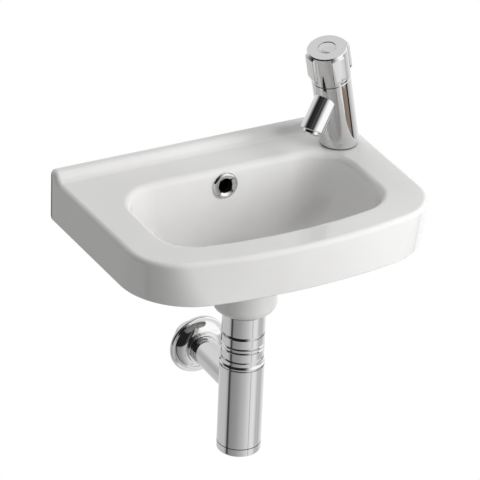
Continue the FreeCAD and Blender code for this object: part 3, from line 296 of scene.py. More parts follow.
def make_metal(name, colour, dull, mark_size):
    """Machined metal of a colour, a mean roughness and a size of mark in mm."""
    material, tree, output, place = new_material(name)
    marks = noise(tree, place, mark_size * MM, 4.0)
    finish_material(tree, output, Base_Color=linear(colour), Metallic=1.0,
                    Roughness=spread(tree, marks, dull * LEAST_DULL, dull * MOST_DULL),
                    Normal=bumps(tree, marks, MARK_STRENGTH, MARK_DEPTH * MM))
    return material


brass = make_metal("machined_brass", "#c9a258", dull=0.28, mark_size=0.6)
steel = make_metal("stainless_steel", "#b9babb", dull=0.25, mark_size=0.5)
print("metals:", brass.name, steel.name)

# %% [markdown]
# Seals are moulded rubber, the plug's guide is acetal, and the valve's discs are
# lapped alumina. All three are one even colour with a fine grain, so one function
# makes them from two close colours, a roughness and the grain's size.

# %% Moulded plastic, rubber and ceramic
GRAIN_DEPTH, GRAIN_STRENGTH = 0.05, 0.3


def make_moulded(name, low, high, rough, grain):
    """A fine-grained material from two colours, a roughness and a grain in mm."""
    material, tree, output, place = new_material(name)
    spots = noise(tree, place, grain * MM, 3.0)
    finish_material(tree, output, Roughness=rough,
                    Base_Color=colour_ramp(tree, spots, [(0, linear(low)), (1, linear(high))]),
                    Normal=bumps(tree, spots, GRAIN_STRENGTH, GRAIN_DEPTH * MM))
    return material


MATERIALS = {
    "ceramic": china,
    "chrome": chrome,
    "brass": brass,
    "steel": steel,
    "rubber": make_moulded("moulded_rubber", "#1c1c1c", "#272727", rough=0.7, grain=0.8),
    "plastic": make_moulded("moulded_acetal", "#e4e3de", "#efeeea", rough=0.35, grain=1.2),
    "disc_ceramic": make_moulded("lapped_alumina", "#e9e4d8", "#f2efe6", rough=0.15, grain=0.5),
}
print("finishes:", ", ".join(MATERIALS))

# %% [markdown]
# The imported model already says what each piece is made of. Its slots become the
# finishes above, and no mesh changes.

# %% Give each node the finish of its slot
for part in frame["record"]["subparts"]:
    mesh = nodes[part["node"]].data
    mesh.materials.clear()
    mesh.materials.append(MATERIALS[part["material_slot"]])

# %% [markdown]
# Round pieces are turned on a lathe or spun, and so are their meshes here: a
# profile of radii and heights goes round an axis. No real corner is sharp, so the
# profile's corners are softened first. A bevel modifier could do it, but it would
# round every edge alike, and here each corner has its own size.

# %% Soft corners
CORNER_STEPS, MOST_OF_SIDE, LEAD_IN = 5, 0.4, 0.3


def soften(profile):
    """Rounds the corners of a closed profile of (radius, height, corner size) in mm."""
    points = []
    for number, (radius, height, size) in enumerate(profile):
        corner = Vector((radius, height))
        if not size:
            points.append(tuple(corner))
            continue
        sides = []
        for other in (profile[number - 1], profile[(number + 1) % len(profile)]):
            side = Vector(other[:2]) - corner
            sides.append(side.normalized() * min(size, MOST_OF_SIDE * side.length))
        first, last = corner + sides[0], corner + sides[1]
        points.append(tuple(first + LEAD_IN * sides[0]))
        for step in range(CORNER_STEPS + 1):
            share = step / CORNER_STEPS
            before, after = first.lerp(corner, share), corner.lerp(last, share)
            points.append(tuple(before.lerp(after, share)))
        points.append(tuple(last + LEAD_IN * sides[1]))
    return points


print("a softened square has", len(soften([(0, 0, 1), (9, 0, 1), (9, 9, 1), (0, 9, 1)])), "points")

# %% [markdown]
# The turned mesh joins ring after ring of points into one closed skin. A form
# function can change the radius with the angle, for grips, notches and threads.
# Faces shade smoothly except across true edges.

# %% Turn a profile round an axis
MERGE_DISTANCE, TRUE_EDGE = 0.0005, math.radians(32)


def turned_mesh(name, points, place, segments=128, form=None):
    """A closed mesh from (radius, height) points in mm, turned round a place's Z."""
    solid = bmesh.new()
    rings = []
    for radius, height in points:
        ring = []
        for number in range(segments):
            angle = 2 * math.pi * number / segments
            reach = form(radius, height, angle) if form else radius
            spot = Vector((reach * math.cos(angle), reach * math.sin(angle), height)) * MM
            ring.append(solid.verts.new(place @ spot))
        rings.append(ring)
    for ring, after in zip(rings, rings[1:] + rings[:1]):
        for number in range(segments):
            beside = (number + 1) % segments
            solid.faces.new((ring[number], ring[beside], after[beside], after[number]))
    bmesh.ops.remove_doubles(solid, verts=solid.verts, dist=MERGE_DISTANCE * MM)
    bmesh.ops.recalc_face_normals(solid, faces=solid.faces)
    mesh = bpy.data.meshes.new(name)
    solid.to_mesh(mesh)
    solid.free()
    for face in mesh.polygons:
        face.use_smooth = True
    mesh.set_sharp_from_angle(angle=TRUE_EDGE)
    return mesh


print("edges over", round(math.degrees(TRUE_EDGE)), "degrees stay sharp")

# %% [markdown]
# A finished mesh becomes a piece: it takes the finish of a slot, moves with a body,
# and may stand in for a node. Its size comes from the node that it replaces, so it
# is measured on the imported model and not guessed.


# %% Show a piece and measure a node
def show(mesh, name, slot, body, stands_for=()):
    """Links a finished mesh as a piece of a body, with the finish of a slot."""
    piece = bpy.data.objects.new(name, mesh)
    bpy.context.scene.collection.objects.link(piece)
    if not mesh.materials:
        mesh.materials.append(MATERIALS[slot])
    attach(piece, body)
    if stands_for:
        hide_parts(*stands_for)
    return piece


def heights(node, place):
    """Lowest and highest point of a node along a place's Z, in mm."""
    inverse = place.inverted()
    levels = [(inverse @ vertex.co).z / MM for vertex in nodes[node].data.vertices]
    return min(levels), max(levels)


print("the basin stands from %.1f to %.1f mm" % heights("basin", Matrix()))

# %% [markdown]
# The tap leans, so its handle is made round the tap's own axis. The joint that turns
# the handle has that axis already, and taking it from there keeps the two together.

# %% Axis of the tap
tap_joint = next(joint for joint in frame["record"]["behaviour"]["joints"]
                 if joint["name"] == "tap_turn")
tap_axis = Vector(tap_joint["axis"]).normalized()
TAP = (Matrix.Translation(tap_joint["pos_m"])
       @ Matrix.Rotation(math.atan2(tap_axis.y, tap_axis.x), 4, "Z")
       @ Matrix.Rotation(math.acos(tap_axis.z), 4, "Y"))
KNOB_FOOT, KNOB_TOP = heights("tap_knob", TAP)
print("handle from", round(KNOB_FOOT, 1), "to", round(KNOB_TOP, 1), "mm along the tap's axis")

# %% [markdown]
# The handle is a cap of 44 mm across with four grips. Each grip is a slab of metal
# that stands 2 mm proud, with a gently crowned face, a chamfer at its foot and a
# sloped top. It could be cut with booleans and bevelled. A formula for the radius
# is steadier: one part says how far a grip reaches at each angle, and one says how
# much of it stands out at each height. Means over a few close spots soften both.

# %% Form of the grips
KNOB_RADIUS, GRIP_REACH, GRIP_HALF, GRIP_CROWN = 22, 24.1, 7.75, 0.5
GRIP_START, GRIP_TURN = math.radians(63.2), math.pi / 2
GRIP_FOOT, GRIP_CHAMFER, GRIP_TOP_GAP, GRIP_SLOPE = 3, 5, 1.4, 2.1
CLOSE_HEIGHTS = (-0.3, -0.15, 0, 0.15, 0.3)
CLOSE_DEGREES = (-0.6, -0.3, 0, 0.3, 0.6)
LEAST_SINE, SKIN = 0.01, 0.001


def clamp(value):
    return max(0.0, min(1.0, value))


def grip_share(height):
    """How much of a grip's height stands out here: 0 past its ends, 1 between them."""
    total = 0
    for offset in CLOSE_HEIGHTS:
        foot = (height + offset - KNOB_FOOT - GRIP_FOOT) / GRIP_CHAMFER
        top = (KNOB_TOP - GRIP_TOP_GAP - height - offset) / GRIP_SLOPE
        total += min(clamp(foot), clamp(top))
    return total / len(CLOSE_HEIGHTS)


def grip_reach(angle):
    """Distance from the axis to a grip's face, with softened edges."""
    total = 0
    for offset in CLOSE_DEGREES:
        turn = angle - GRIP_START + math.radians(offset)
        turn = (turn + GRIP_TURN / 2) % GRIP_TURN - GRIP_TURN / 2
        face = GRIP_REACH * (1 + (1 - GRIP_CROWN) * (1 / math.cos(turn) - 1))
        side = GRIP_HALF / max(abs(math.sin(turn)), LEAST_SINE)
        total += max(KNOB_RADIUS, min(face, side))
    return total / len(CLOSE_DEGREES)


def knob_form(radius, height, angle):
    if radius < KNOB_RADIUS - SKIN:
        return radius
    return radius + (grip_reach(angle) - KNOB_RADIUS) * grip_share(height)


print("a grip stands", round(grip_reach(GRIP_START) - KNOB_RADIUS, 2), "mm proud")

# %% [markdown]
# The cap's profile starts in the recess for the button, goes over the rim and down
# the outside, and comes back up the hollow. The outside has rows of points only
# where the grips begin and end, and few between, which keeps the mesh light.

# %% Cap of the handle
KNOB_HOLLOW, KNOB_CEILING, RIM_SLOPE = 19.4, 6.5, 1
BUTTON_RADIUS, BUTTON_RECESS, BUTTON_THICKNESS = 9.6, 9.9, 2.4
TOP_ROWS, MIDDLE_ROWS, FOOT_ROWS = 12, 6, 18
TOP_STEP, MIDDLE_STEP, FOOT_STEP, FOOT_LEAD, PLAIN_TOP, PLAIN_FOOT = 0.3, 4, 0.4, 1.2, 8, 1
grip_top = KNOB_TOP - GRIP_TOP_GAP
grip_foot = KNOB_FOOT + GRIP_FOOT
seat = KNOB_TOP - BUTTON_THICKNESS
rim = soften([
    (BUTTON_RECESS, seat, 0), (BUTTON_RECESS, KNOB_TOP, 0.25),
    (KNOB_RADIUS - RIM_SLOPE, KNOB_TOP, 0.3), (KNOB_RADIUS, KNOB_TOP - RIM_SLOPE, 0.3),
    (KNOB_RADIUS, KNOB_TOP - PLAIN_TOP, 0),
])
levels = [grip_top + TOP_STEP - TOP_STEP * row for row in range(TOP_ROWS)]
levels += [grip_top - MIDDLE_STEP - MIDDLE_STEP * row for row in range(MIDDLE_ROWS)]
levels += [grip_foot + GRIP_CHAMFER + FOOT_LEAD - FOOT_STEP * row for row in range(FOOT_ROWS)]
side_wall = [(KNOB_RADIUS, level) for level in levels if level > KNOB_FOOT + PLAIN_FOOT]
inside = soften([
    (KNOB_RADIUS, KNOB_FOOT + PLAIN_FOOT, 0), (KNOB_RADIUS, KNOB_FOOT, 0.4),
    (KNOB_HOLLOW, KNOB_FOOT, 0.2), (KNOB_HOLLOW, KNOB_TOP - KNOB_CEILING, 0.5),
    (0, KNOB_TOP - KNOB_CEILING, 0),
])
knob_points = [(0, seat)] + rim[:-1] + side_wall + inside
knob_mesh = turned_mesh("tap_handle", knob_points, TAP, 480, knob_form)
show(knob_mesh, "tap_handle", "chrome", "handle", ("tap_knob",))
print("handle cap of", len(knob_mesh.polygons), "faces")

# %% [markdown]
# A low domed button closes the middle of the cap over the screw. It is a disc of
# its own with a gap of 0.3 mm round it, which shows as a thin dark ring.

# %% Button in the handle
BUTTON_DOME, BUTTON_PROUD, CROWN_POWER, CROWN_STEPS, BUTTON_GAP = 1.5, 1.0, 2.5, 16, 0.05
button_top = KNOB_TOP + BUTTON_PROUD
crown_reaches = [BUTTON_RADIUS * (1 - step / CROWN_STEPS) for step in range(1, CROWN_STEPS)]
crown = [(reach, button_top - BUTTON_DOME * (reach / BUTTON_RADIUS) ** CROWN_POWER, 0)
         for reach in crown_reaches]
button = soften([
    (0, seat + BUTTON_GAP, 0), (BUTTON_RADIUS, seat + BUTTON_GAP, 0.1),
    (BUTTON_RADIUS, button_top - BUTTON_DOME, 0.15),
] + crown + [(0, button_top, 0)])
button_mesh = turned_mesh("handle_button", button, TAP)
show(button_mesh, "handle_button", "chrome", "handle", ("knob_button",))
print("button stands", BUTTON_PROUD, "mm proud")

# %% [markdown]
# The overflow ring sits in the bowl's rear wall, which leans back 5 degrees. Its
# place is measured on the node, along the ring's own axis.

# %% Place of the overflow ring
RING_TILT = math.radians(5)
low_corner, high_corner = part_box("overflow_ring")
ring_facing = Matrix.Rotation(math.pi / 2 - RING_TILT, 4, "X")
ring_face = heights("overflow_ring", ring_facing)[1]
ring_flat = ring_facing.inverted() @ ((low_corner + high_corner) / 2)
ring_rows = [(ring_facing.inverted() @ vertex.co).y
             for vertex in nodes["overflow_ring"].data.vertices]
ring_middle = (min(ring_rows) + max(ring_rows)) / 2
RING = ring_facing @ Matrix.Translation((ring_flat.x, ring_middle, ring_face * MM))
print("ring middle", [round(v / MM, 2) for v in RING.translation])

# %% [markdown]
# The ring is a chromed cover with a rolled rim and a short funnel, whose lip opens
# at four notches that let the water past. Only the face is plated. The barrel's
# bore is bare black plastic, so the faces in there take a second material. Their
# black is partly painted shade, for the shade deep in the hole.

# %% Overflow ring
RING_RADIUS, RING_THICKNESS, RING_CREST, RING_BORE, RING_ROLL = 15, 3, 12.0, 8.3, 2.0
BARREL_RADIUS, BARREL_BORE, BARREL_FOOT, LIP_FOOT = 11, 9.3, -12, -2.9
NOTCH_HALF_ANGLE, NOTCH_TURN = math.radians(8), math.pi / 2
PLATED_TO, PLATED_EDGE = -2.0, 0.4


def ring_form(radius, height, angle):
    """Opens the lip to the barrel's bore at four notches."""
    from_notch = abs((angle + NOTCH_TURN) % NOTCH_TURN - NOTCH_TURN / 2)
    return max(radius, BARREL_BORE) if from_notch < NOTCH_HALF_ANGLE else radius


ring_mesh = turned_mesh("overflow_cover", soften([
    (BARREL_BORE, BARREL_FOOT, 0), (BARREL_RADIUS, BARREL_FOOT, 0.3),
    (BARREL_RADIUS, -RING_THICKNESS, 0), (RING_RADIUS, -RING_THICKNESS, 0.2),
    (RING_RADIUS, -RING_ROLL, 0.5), (RING_RADIUS - 1.3, -0.6, 1.0), (RING_CREST, 0, 0.7),
    (RING_BORE + 0.5, -1.4, 0.5), (RING_BORE, -1.8, 0.3), (RING_BORE, LIP_FOOT, 0.2),
    (BARREL_BORE, LIP_FOOT, 0),
]), RING, segments=240, form=ring_form)
ring_mesh.materials.append(MATERIALS["chrome"])
ring_mesh.materials.append(MATERIALS["rubber"])
# The bore's black faces are unplated plastic and partly painted shade for the deep hole.
to_ring = RING.inverted()
for face in ring_mesh.polygons:
    spot = to_ring @ face.center / MM
    if spot.z < PLATED_TO and math.hypot(spot.x, spot.y) < BARREL_RADIUS - PLATED_EDGE:
        face.material_index = 1
show(ring_mesh, "overflow_cover", "chrome", "fixture", ("overflow_ring",))
print(sum(face.material_index for face in ring_mesh.polygons), "faces of the ring are black")

# %% [markdown]
# The dome of the wall cover is an arc from its rim to its hub, and so is the inside
# of the dome. A circle through two points needs only its radius, so one function
# finds the centre and walks along the arc.

# %% Arc between two points
ARC_STEPS = 24


def arc_points(start, end, radius):
    """Points between two others, on an arc that bulges away from the axis."""
    chord = Vector(end) - Vector(start)
    across = Vector((-chord.y, chord.x)).normalized()
    rise = math.sqrt(radius ** 2 - chord.length_squared / 4)
    centre = (Vector(start) + Vector(end)) / 2 + across * rise
    first, last = (math.atan2(*(Vector(spot) - centre).yx) for spot in (start, end))
    turns = (first + (last - first) * step / ARC_STEPS for step in range(1, ARC_STEPS))
    return [(centre.x + radius * math.cos(turn), centre.y + radius * math.sin(turn), 0)
            for turn in turns]


print("half way on a small arc:", [round(v, 2) for v in arc_points((2, 0), (1, 1), 1)[11][:2]])

# %% [markdown]
# The wall cover is one spun sheet: a flat rim rolled over at its edge, a dome that
# rises to the hub, and a collar round the pipe. Turning it with many segments leaves
# no flats for the chrome to show.

# %% Wall cover
low_corner, high_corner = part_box("wall_rosette")
cover_middle = (low_corner + high_corner) / 2
COVER = (Matrix.Translation((cover_middle.x, high_corner.y, cover_middle.z))
         @ Matrix.Rotation(math.pi / 2, 4, "X"))
COVER_RADIUS = (high_corner.x - low_corner.x) / 2 / MM
COVER_HEIGHT = (high_corner.y - low_corner.y) / MM
COVER_WALL, COVER_RIM, COVER_RIM_WIDTH, COVER_ROLL, DOME_RADIUS = 1.2, 4, 4.5, 2.0, 14
HUB_RADIUS, HUB_HEIGHT, COLLAR_RADIUS, PIPE_HOLE = 21, 12, 19, 16.3
rim_start = (COVER_RADIUS - COVER_RIM_WIDTH, COVER_RIM)
under_start = (rim_start[0] - COVER_WALL, COVER_RIM - COVER_WALL)
under_end = (HUB_RADIUS - COVER_WALL, HUB_HEIGHT - COVER_WALL)
dome = arc_points(rim_start, (HUB_RADIUS, HUB_HEIGHT), DOME_RADIUS)
under = arc_points(under_start, under_end, DOME_RADIUS - COVER_WALL)
cover_mesh = turned_mesh("wall_cover", soften([
    (COVER_RADIUS - COVER_WALL, 0, 0), (COVER_RADIUS, 0, 0.3),
    (COVER_RADIUS, COVER_RIM, COVER_ROLL), (*rim_start, 0.3),
] + dome + [
    (HUB_RADIUS, HUB_HEIGHT, 0.15), (COLLAR_RADIUS, HUB_HEIGHT, 0.4),
    (COLLAR_RADIUS, COVER_HEIGHT, 0.9), (PIPE_HOLE, COVER_HEIGHT, 0.4),
    (PIPE_HOLE, under_end[1], 0), (*under_end, 0),
] + under[::-1] + [
    (*under_start, 0), (COVER_RADIUS - COVER_WALL, under_start[1], 0),
]), COVER, segments=192)
show(cover_mesh, "wall_cover", "chrome", "fixture", ("wall_rosette",))
print("wall cover of", round(2 * COVER_RADIUS, 1), "mm,", round(COVER_HEIGHT, 1), "mm deep")

# %% [markdown]
# An aerator mixes air into the water. Its insert is a ring that holds a woven
# screen, in the spout's mouth. The mouth points along the line from the middle of
# the insert away from its threaded housing, so those two nodes give its place.

# %% Mouth of the spout
SCREEN_RADIUS, SCREEN_RIM, SCREEN_HALF = 7.6, 1.0, 1.5


def middle(node):
    """Mean of a round node's corners, which lies on its axis."""
    spots = [vertex.co for vertex in nodes[node].data.vertices]
    return sum(spots, Vector()) / len(spots)


outward = middle("aerator_insert") - middle("aerator_housing")
MOUTH = (Matrix.Translation(middle("aerator_insert"))
         @ outward.to_track_quat("Z", "Y").to_matrix().to_4x4())
print("the spout's mouth is at", [round(v / MM, 1) for v in MOUTH.translation])

# %% [markdown]
# The screen follows a rule: wires at an even pitch, each as long as the circle is
# wide there. Geometry Nodes suit such repeats, because four named sizes drive them
# all. A line of points gets one wire at each point, stretched to its length.

# %% One layer of wires
WIRE_RADIUS, WIRE_PITCH, WIRE_ROWS, WIRE_HOLD, WIRE_SIDES = 0.16, 0.9, 15, 0.2, 10
weave = bpy.data.node_groups.new("woven_screen", "GeometryNodeTree")
weave.interface.new_socket("Geometry", in_out="OUTPUT", socket_type="NodeSocketGeometry")
screen_sizes = {"Radius": SCREEN_RADIUS - SCREEN_RIM + WIRE_HOLD, "Pitch": WIRE_PITCH,
                "Wire": WIRE_RADIUS}
for name, size in screen_sizes.items():
    socket = weave.interface.new_socket(name, in_out="INPUT", socket_type="NodeSocketFloat")
    socket.default_value = size * MM
socket = weave.interface.new_socket("Rows", in_out="INPUT", socket_type="NodeSocketInt")
socket.default_value = WIRE_ROWS
sizes = add_node(weave, "NodeGroupInput").outputs

gaps = maths(weave, "SUBTRACT", sizes["Rows"], 1.0)
first_wire = maths(weave, "MULTIPLY", gaps, maths(weave, "MULTIPLY", sizes["Pitch"], -0.5))
line = add_node(weave, "GeometryNodeMeshLine", {
    "Count": sizes["Rows"],
    "Start Location": add_node(weave, "ShaderNodeCombineXYZ", {"X": first_wire}).outputs[0],
    "Offset": add_node(weave, "ShaderNodeCombineXYZ", {"X": sizes["Pitch"]}).outputs[0]})
beside = axis_parts(weave, add_node(weave, "GeometryNodeInputPosition").outputs[0])["X"]
square = maths(weave, "SUBTRACT", maths(weave, "MULTIPLY", sizes["Radius"], sizes["Radius"]),
               maths(weave, "MULTIPLY", beside, beside))
half = maths(weave, "SQRT", square)
wire = add_node(weave, "GeometryNodeMeshCylinder", {
    "Vertices": WIRE_SIDES, "Radius": sizes["Wire"], "Depth": 2.0})
stretch = add_node(weave, "ShaderNodeCombineXYZ", {"X": 1.0, "Y": 1.0, "Z": half}).outputs[0]
layer = add_node(weave, "GeometryNodeInstanceOnPoints", {
    "Points": line.outputs[0], "Instance": wire.outputs[0],
    "Rotation": (math.pi / 2, 0, 0), "Scale": stretch})
print("a layer has", WIRE_ROWS, "wires,", WIRE_PITCH, "mm apart")

# %% [markdown]
# The second layer is the first one, turned a quarter and lifted by one wire. The
# tree ends by making the wires real and giving them their steel, because an export
# keeps neither instances nor a modifier. The result is read as a plain mesh.

# %% Woven screen of the aerator
SCREEN_LEVEL = 0.7
lift = maths(weave, "MULTIPLY", sizes["Wire"], 2.0)
crossed = add_node(weave, "GeometryNodeTransform", {
    "Geometry": layer.outputs[0], "Rotation": (0, 0, math.pi / 2),
    "Translation": add_node(weave, "ShaderNodeCombineXYZ", {"Z": lift}).outputs[0]})
both = add_node(weave, "GeometryNodeJoinGeometry")
for part in (layer, crossed):
    weave.links.new(part.outputs[0], both.inputs[0])
solid = add_node(weave, "GeometryNodeRealizeInstances", {"Geometry": both.outputs[0]})
dressed = add_node(weave, "GeometryNodeSetMaterial", {
    "Geometry": solid.outputs[0], "Material": MATERIALS["steel"]})
add_node(weave, "NodeGroupOutput", {"Geometry": dressed.outputs[0]})

carrier = bpy.data.objects.new("weave_carrier", bpy.data.meshes.new("weave_carrier"))
bpy.context.scene.collection.objects.link(carrier)
carrier.modifiers.new("weave", "NODES").node_group = weave
evaluated = carrier.evaluated_get(bpy.context.evaluated_depsgraph_get())
screen_mesh = bpy.data.meshes.new_from_object(evaluated)
bpy.data.objects.remove(carrier)
screen_mesh.transform(MOUTH @ Matrix.Translation((0, 0, SCREEN_LEVEL * MM)))
show(screen_mesh, "aerator_screen", "steel", "fixture")
print("screen of", WIRE_ROWS, "by", WIRE_ROWS, "wires,", len(screen_mesh.polygons), "faces")

# %% [markdown]
# The ring that holds the screen is a short tube with a softened mouth.

# %% Ring round the screen
hoop = soften([
    (SCREEN_RADIUS - SCREEN_RIM, -SCREEN_HALF, 0.1), (SCREEN_RADIUS, -SCREEN_HALF, 0.1),
    (SCREEN_RADIUS, SCREEN_HALF, 0.1), (SCREEN_RADIUS - SCREEN_RIM, SCREEN_HALF, 0.3),
])
hoop_mesh = turned_mesh("aerator_hoop", hoop, MOUTH)
show(hoop_mesh, "aerator_hoop", "steel", "fixture", ("aerator_insert",))
print("ring of", 2 * SCREEN_RADIUS, "mm round the screen")

# %% [markdown]
# The plug of the waste is a shallow dome with a rolled edge, so that water runs
# off it, and a hand finds no sharp rim.

# %% Plug of the waste
low_corner, high_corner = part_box("waste_plug")
drain_middle = (low_corner + high_corner) / 2
DRAIN = Matrix.Translation((drain_middle.x, drain_middle.y, 0))
plug_foot, plug_top = heights("waste_plug", DRAIN)
PLUG_RADIUS = (high_corner.x - low_corner.x) / 2 / MM
PLUG_DOME, PLUG_FOOT_SLOPE, PLUG_EDGE, DOME_STEP = 1.0, 1.5, 1, 3
plug_reaches = [PLUG_RADIUS - PLUG_EDGE - DOME_STEP * step for step in range(1, 10)]
plug_dome = [(reach, plug_top - PLUG_DOME * (reach / PLUG_RADIUS) ** 2, 0)
             for reach in plug_reaches]
plug = soften([
    (0, plug_foot, 0), (PLUG_RADIUS - PLUG_FOOT_SLOPE, plug_foot, 0.3),
    (PLUG_RADIUS, plug_foot + PLUG_FOOT_SLOPE, 0.5), (PLUG_RADIUS, plug_top - PLUG_DOME, 1.4),
] + plug_dome + [(0, plug_top, 0)])
show(turned_mesh("plug_cap", plug, DRAIN), "plug_cap", "chrome", "plug", ("waste_plug",))
print("plug", round(plug_foot, 2), round(plug_top, 2), "radius", round(PLUG_RADIUS, 1))

# %% [markdown]
# The tap's tail has a half-inch pipe thread below the deck: 1.814 mm from crest to
# crest, 1.16 mm deep. A helix could be swept with a cutter. Here the form function
# lowers the radius along a helix, which never leaves a torn face.

# %% Form of the thread
low_corner, high_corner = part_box("tap_shank")
tail_middle = (low_corner + high_corner) / 2
TAIL = Matrix.Translation((tail_middle.x, tail_middle.y, 0))
tail_foot, tail_top = heights("tap_shank", TAIL)
TAIL_RADIUS, TAIL_BORE, TAIL_CHAMFER = 10.4, 6.5, 1.2
PITCH, THREAD_DEPTH, THREAD_TOP, TAIL_SKIN = 1.814, 1.16, 24.0, 0.01
FLANK_STEEP, ROOT_FLAT, RUN_OUT = 1.25, 0.125, 0.15


def thread_form(radius, height, angle):
    """Lowers the outside along a helix that fades at both ends."""
    if radius < TAIL_RADIUS - TAIL_SKIN or height > THREAD_TOP:
        return radius
    share = (height / PITCH - angle / (2 * math.pi)) % 1
    fade = clamp((height - tail_foot) / PITCH) * clamp((THREAD_TOP - height) / PITCH)
    depth = clamp(FLANK_STEEP * abs(2 * share - 1) - ROOT_FLAT)
    return radius - THREAD_DEPTH * depth * (RUN_OUT + (1 - RUN_OUT) * fade)


print("tail", round(tail_foot, 1), "to", round(tail_top, 1), "mm")

# %% [markdown]
# A helix needs rows of points close together: eight for each turn are enough for
# the flanks to read as straight.

# %% Threaded tail of the tap
ROWS_PER_TURN, TAIL_SEGMENTS, FIRST_ROW, LAST_ROW, SPARE = 8, 64, 0.5, 0.2, 1
rows = int((THREAD_TOP - tail_foot - SPARE) / PITCH * ROWS_PER_TURN)
thread_rows = [(TAIL_RADIUS, tail_foot + FIRST_ROW + row * PITCH / ROWS_PER_TURN)
               for row in range(rows)]
tail = [(TAIL_BORE, tail_top), (TAIL_BORE, tail_foot), (TAIL_RADIUS - TAIL_CHAMFER, tail_foot)]
tail += thread_rows + [(TAIL_RADIUS, THREAD_TOP + LAST_ROW), (TAIL_RADIUS, tail_top)]
tail_mesh = turned_mesh("threaded_tail", tail, TAIL, TAIL_SEGMENTS, thread_form)
show(tail_mesh, "threaded_tail", "brass", "fixture", ("tap_shank",))
print("tail with", rows, "rows of thread")

# %% [markdown]
# The camera stands where the photographer stood: to the left of the basin, above
# it and far off behind a long lens. The values were fitted to the straight edges
# of the basin and to the round ones of the tap and trap.

# %% Camera
AZIMUTH, ELEVATION, ROLL = math.radians(29.18), math.radians(28.70), math.radians(2.376)
TARGET = Vector((0.35, -97.5, -42.9)) * MM
DISTANCE = 3461.9 * MM
FOCAL_PIXELS, IMAGE_PIXELS, SENSOR_WIDTH = 3199, 480, 36

ahead = Vector((math.sin(AZIMUTH) * math.cos(ELEVATION), math.cos(AZIMUTH) * math.cos(ELEVATION),
                -math.sin(ELEVATION)))
level_right = Vector((math.cos(AZIMUTH), -math.sin(AZIMUTH), 0))
level_up = level_right.cross(ahead)
right = math.cos(ROLL) * level_right + math.sin(ROLL) * level_up
upward = math.cos(ROLL) * level_up - math.sin(ROLL) * level_right
camera_data = bpy.data.cameras.new("camera")
camera_data.sensor_width = SENSOR_WIDTH
camera_data.lens = FOCAL_PIXELS / IMAGE_PIXELS * SENSOR_WIDTH
camera = bpy.data.objects.new("camera", camera_data)
axes = Matrix((right, upward, -ahead)).transposed()
camera.matrix_world = Matrix.Translation(TARGET - ahead * DISTANCE) @ axes.to_4x4()
bpy.context.scene.collection.objects.link(camera)
bpy.context.scene.camera = camera
print("camera at", [round(v, 3) for v in camera.location], "lens", round(camera_data.lens, 1))

# %% [markdown]
# The object stands out against plain white. The world is white to the camera and
# to glass, and much dimmer to everything else, so that the background hardly
# adds light to the object.

# %% World
AMBIENT, BACKDROP = 0.29, 1.0
WHITE = (1, 1, 1, 1)
world = bpy.data.worlds.new("white_studio")
bpy.context.scene.world = world
world.use_nodes = True
sky = world.node_tree
sky.nodes.clear()
ambient = add_node(sky, "ShaderNodeBackground", {"Color": WHITE, "Strength": AMBIENT})
backdrop = add_node(sky, "ShaderNodeBackground", {"Color": WHITE, "Strength": BACKDROP})
rays = add_node(sky, "ShaderNodeLightPath").outputs
seen = maths(sky, "MAXIMUM", rays["Is Camera Ray"], rays["Is Transmission Ray"])
shown = add_node(sky, "ShaderNodeMixShader", {
    0: seen, 1: ambient.outputs[0], 2: backdrop.outputs[0]})
add_node(sky, "ShaderNodeOutputWorld", {"Surface": shown.outputs[0]})
print("world lights at", AMBIENT, "and shows at", BACKDROP)

# %% [markdown]
# Chrome shows nothing but its surroundings, so the room matters as much as the
# metal. A dome round the object carries them as soft bands: a black flag to the
# left, a bright wall to the right, and a grey floor with one thin dark line.
# Photographers hang cards and cloths for this. Each list below goes once round,
# from behind through the left, the front and the right, as pairs of an angle and a
# brightness, for the floor, the walls and the ceiling.

# %% Bands of the room
LOW_BANDS = [
    (-180, 0.7), (-112, 0.68), (-98, 0.5), (-93, 0.07), (-86, 0.07), (-80, 0.32), (-45, 0.42),
    (-10, 0.66), (18, 0.95), (21, 0.45), (24, 0.95), (42, 1.05), (56, 0.8), (62, 0.6), (68, 0.7),
    (82, 0.6), (105, 0.9), (140, 1.0), (180, 0.8)]
HIGH_BANDS = [
    (-180, 0.9), (-148, 0.9), (-132, 0.3), (-118, 0.02), (-22, 0.02), (-8, 0.12), (8, 0.8),
    (24, 1.35), (98, 1.35), (118, 0.8), (180, 0.9)]
TOP_BANDS = [
    (-180, 0.85), (-140, 0.6), (-110, 0.04), (-50, 0.04), (-20, 0.3), (30, 0.8), (90, 0.8),
    (180, 0.85)]
FLOOR_EDGE, FLOOR_SOFT, TOP_EDGE, TOP_SOFT = -16, 3, 52, 6
room_material, tree, output, place = new_material("room_walls")
way = axis_parts(tree, vector_maths(tree, "NORMALIZE", place))
turn = maths(tree, "ARCTAN2", way["X"], maths(tree, "MULTIPLY", way["Y"], -1.0))
turn = add_node(tree, "ShaderNodeMapRange", {
    "Value": turn, "From Min": -math.pi, "From Max": math.pi}).outputs[0]
floor_tone, wall_tone, top_tone = (
    colour_ramp(tree, turn, [((angle + 180) / 360, (bright, bright, bright, 1))
                             for angle, bright in bands])
    for bands in (LOW_BANDS, HIGH_BANDS, TOP_BANDS))
print("bands:", len(LOW_BANDS), "low,", len(HIGH_BANDS), "high,", len(TOP_BANDS), "on top")

# %% [markdown]
# What stands round the object glows by itself, so its tones stay as they are
# written. It belongs to the studio and not to the object, and only some kinds of
# ray see it: the camera sees the floor, and mirrors see the room and the card.

# %% Pieces of the studio
MIRRORS_ONLY = ("camera", "diffuse", "transmission", "shadow")
CAMERA_ONLY = ("diffuse", "glossy", "transmission", "shadow")


def glowing(tree, colour):
    """A surface that shows a colour as it is, without any lamp."""
    return add_node(tree, "ShaderNodeEmission", {"Color": colour, "Strength": 1.0}).outputs[0]


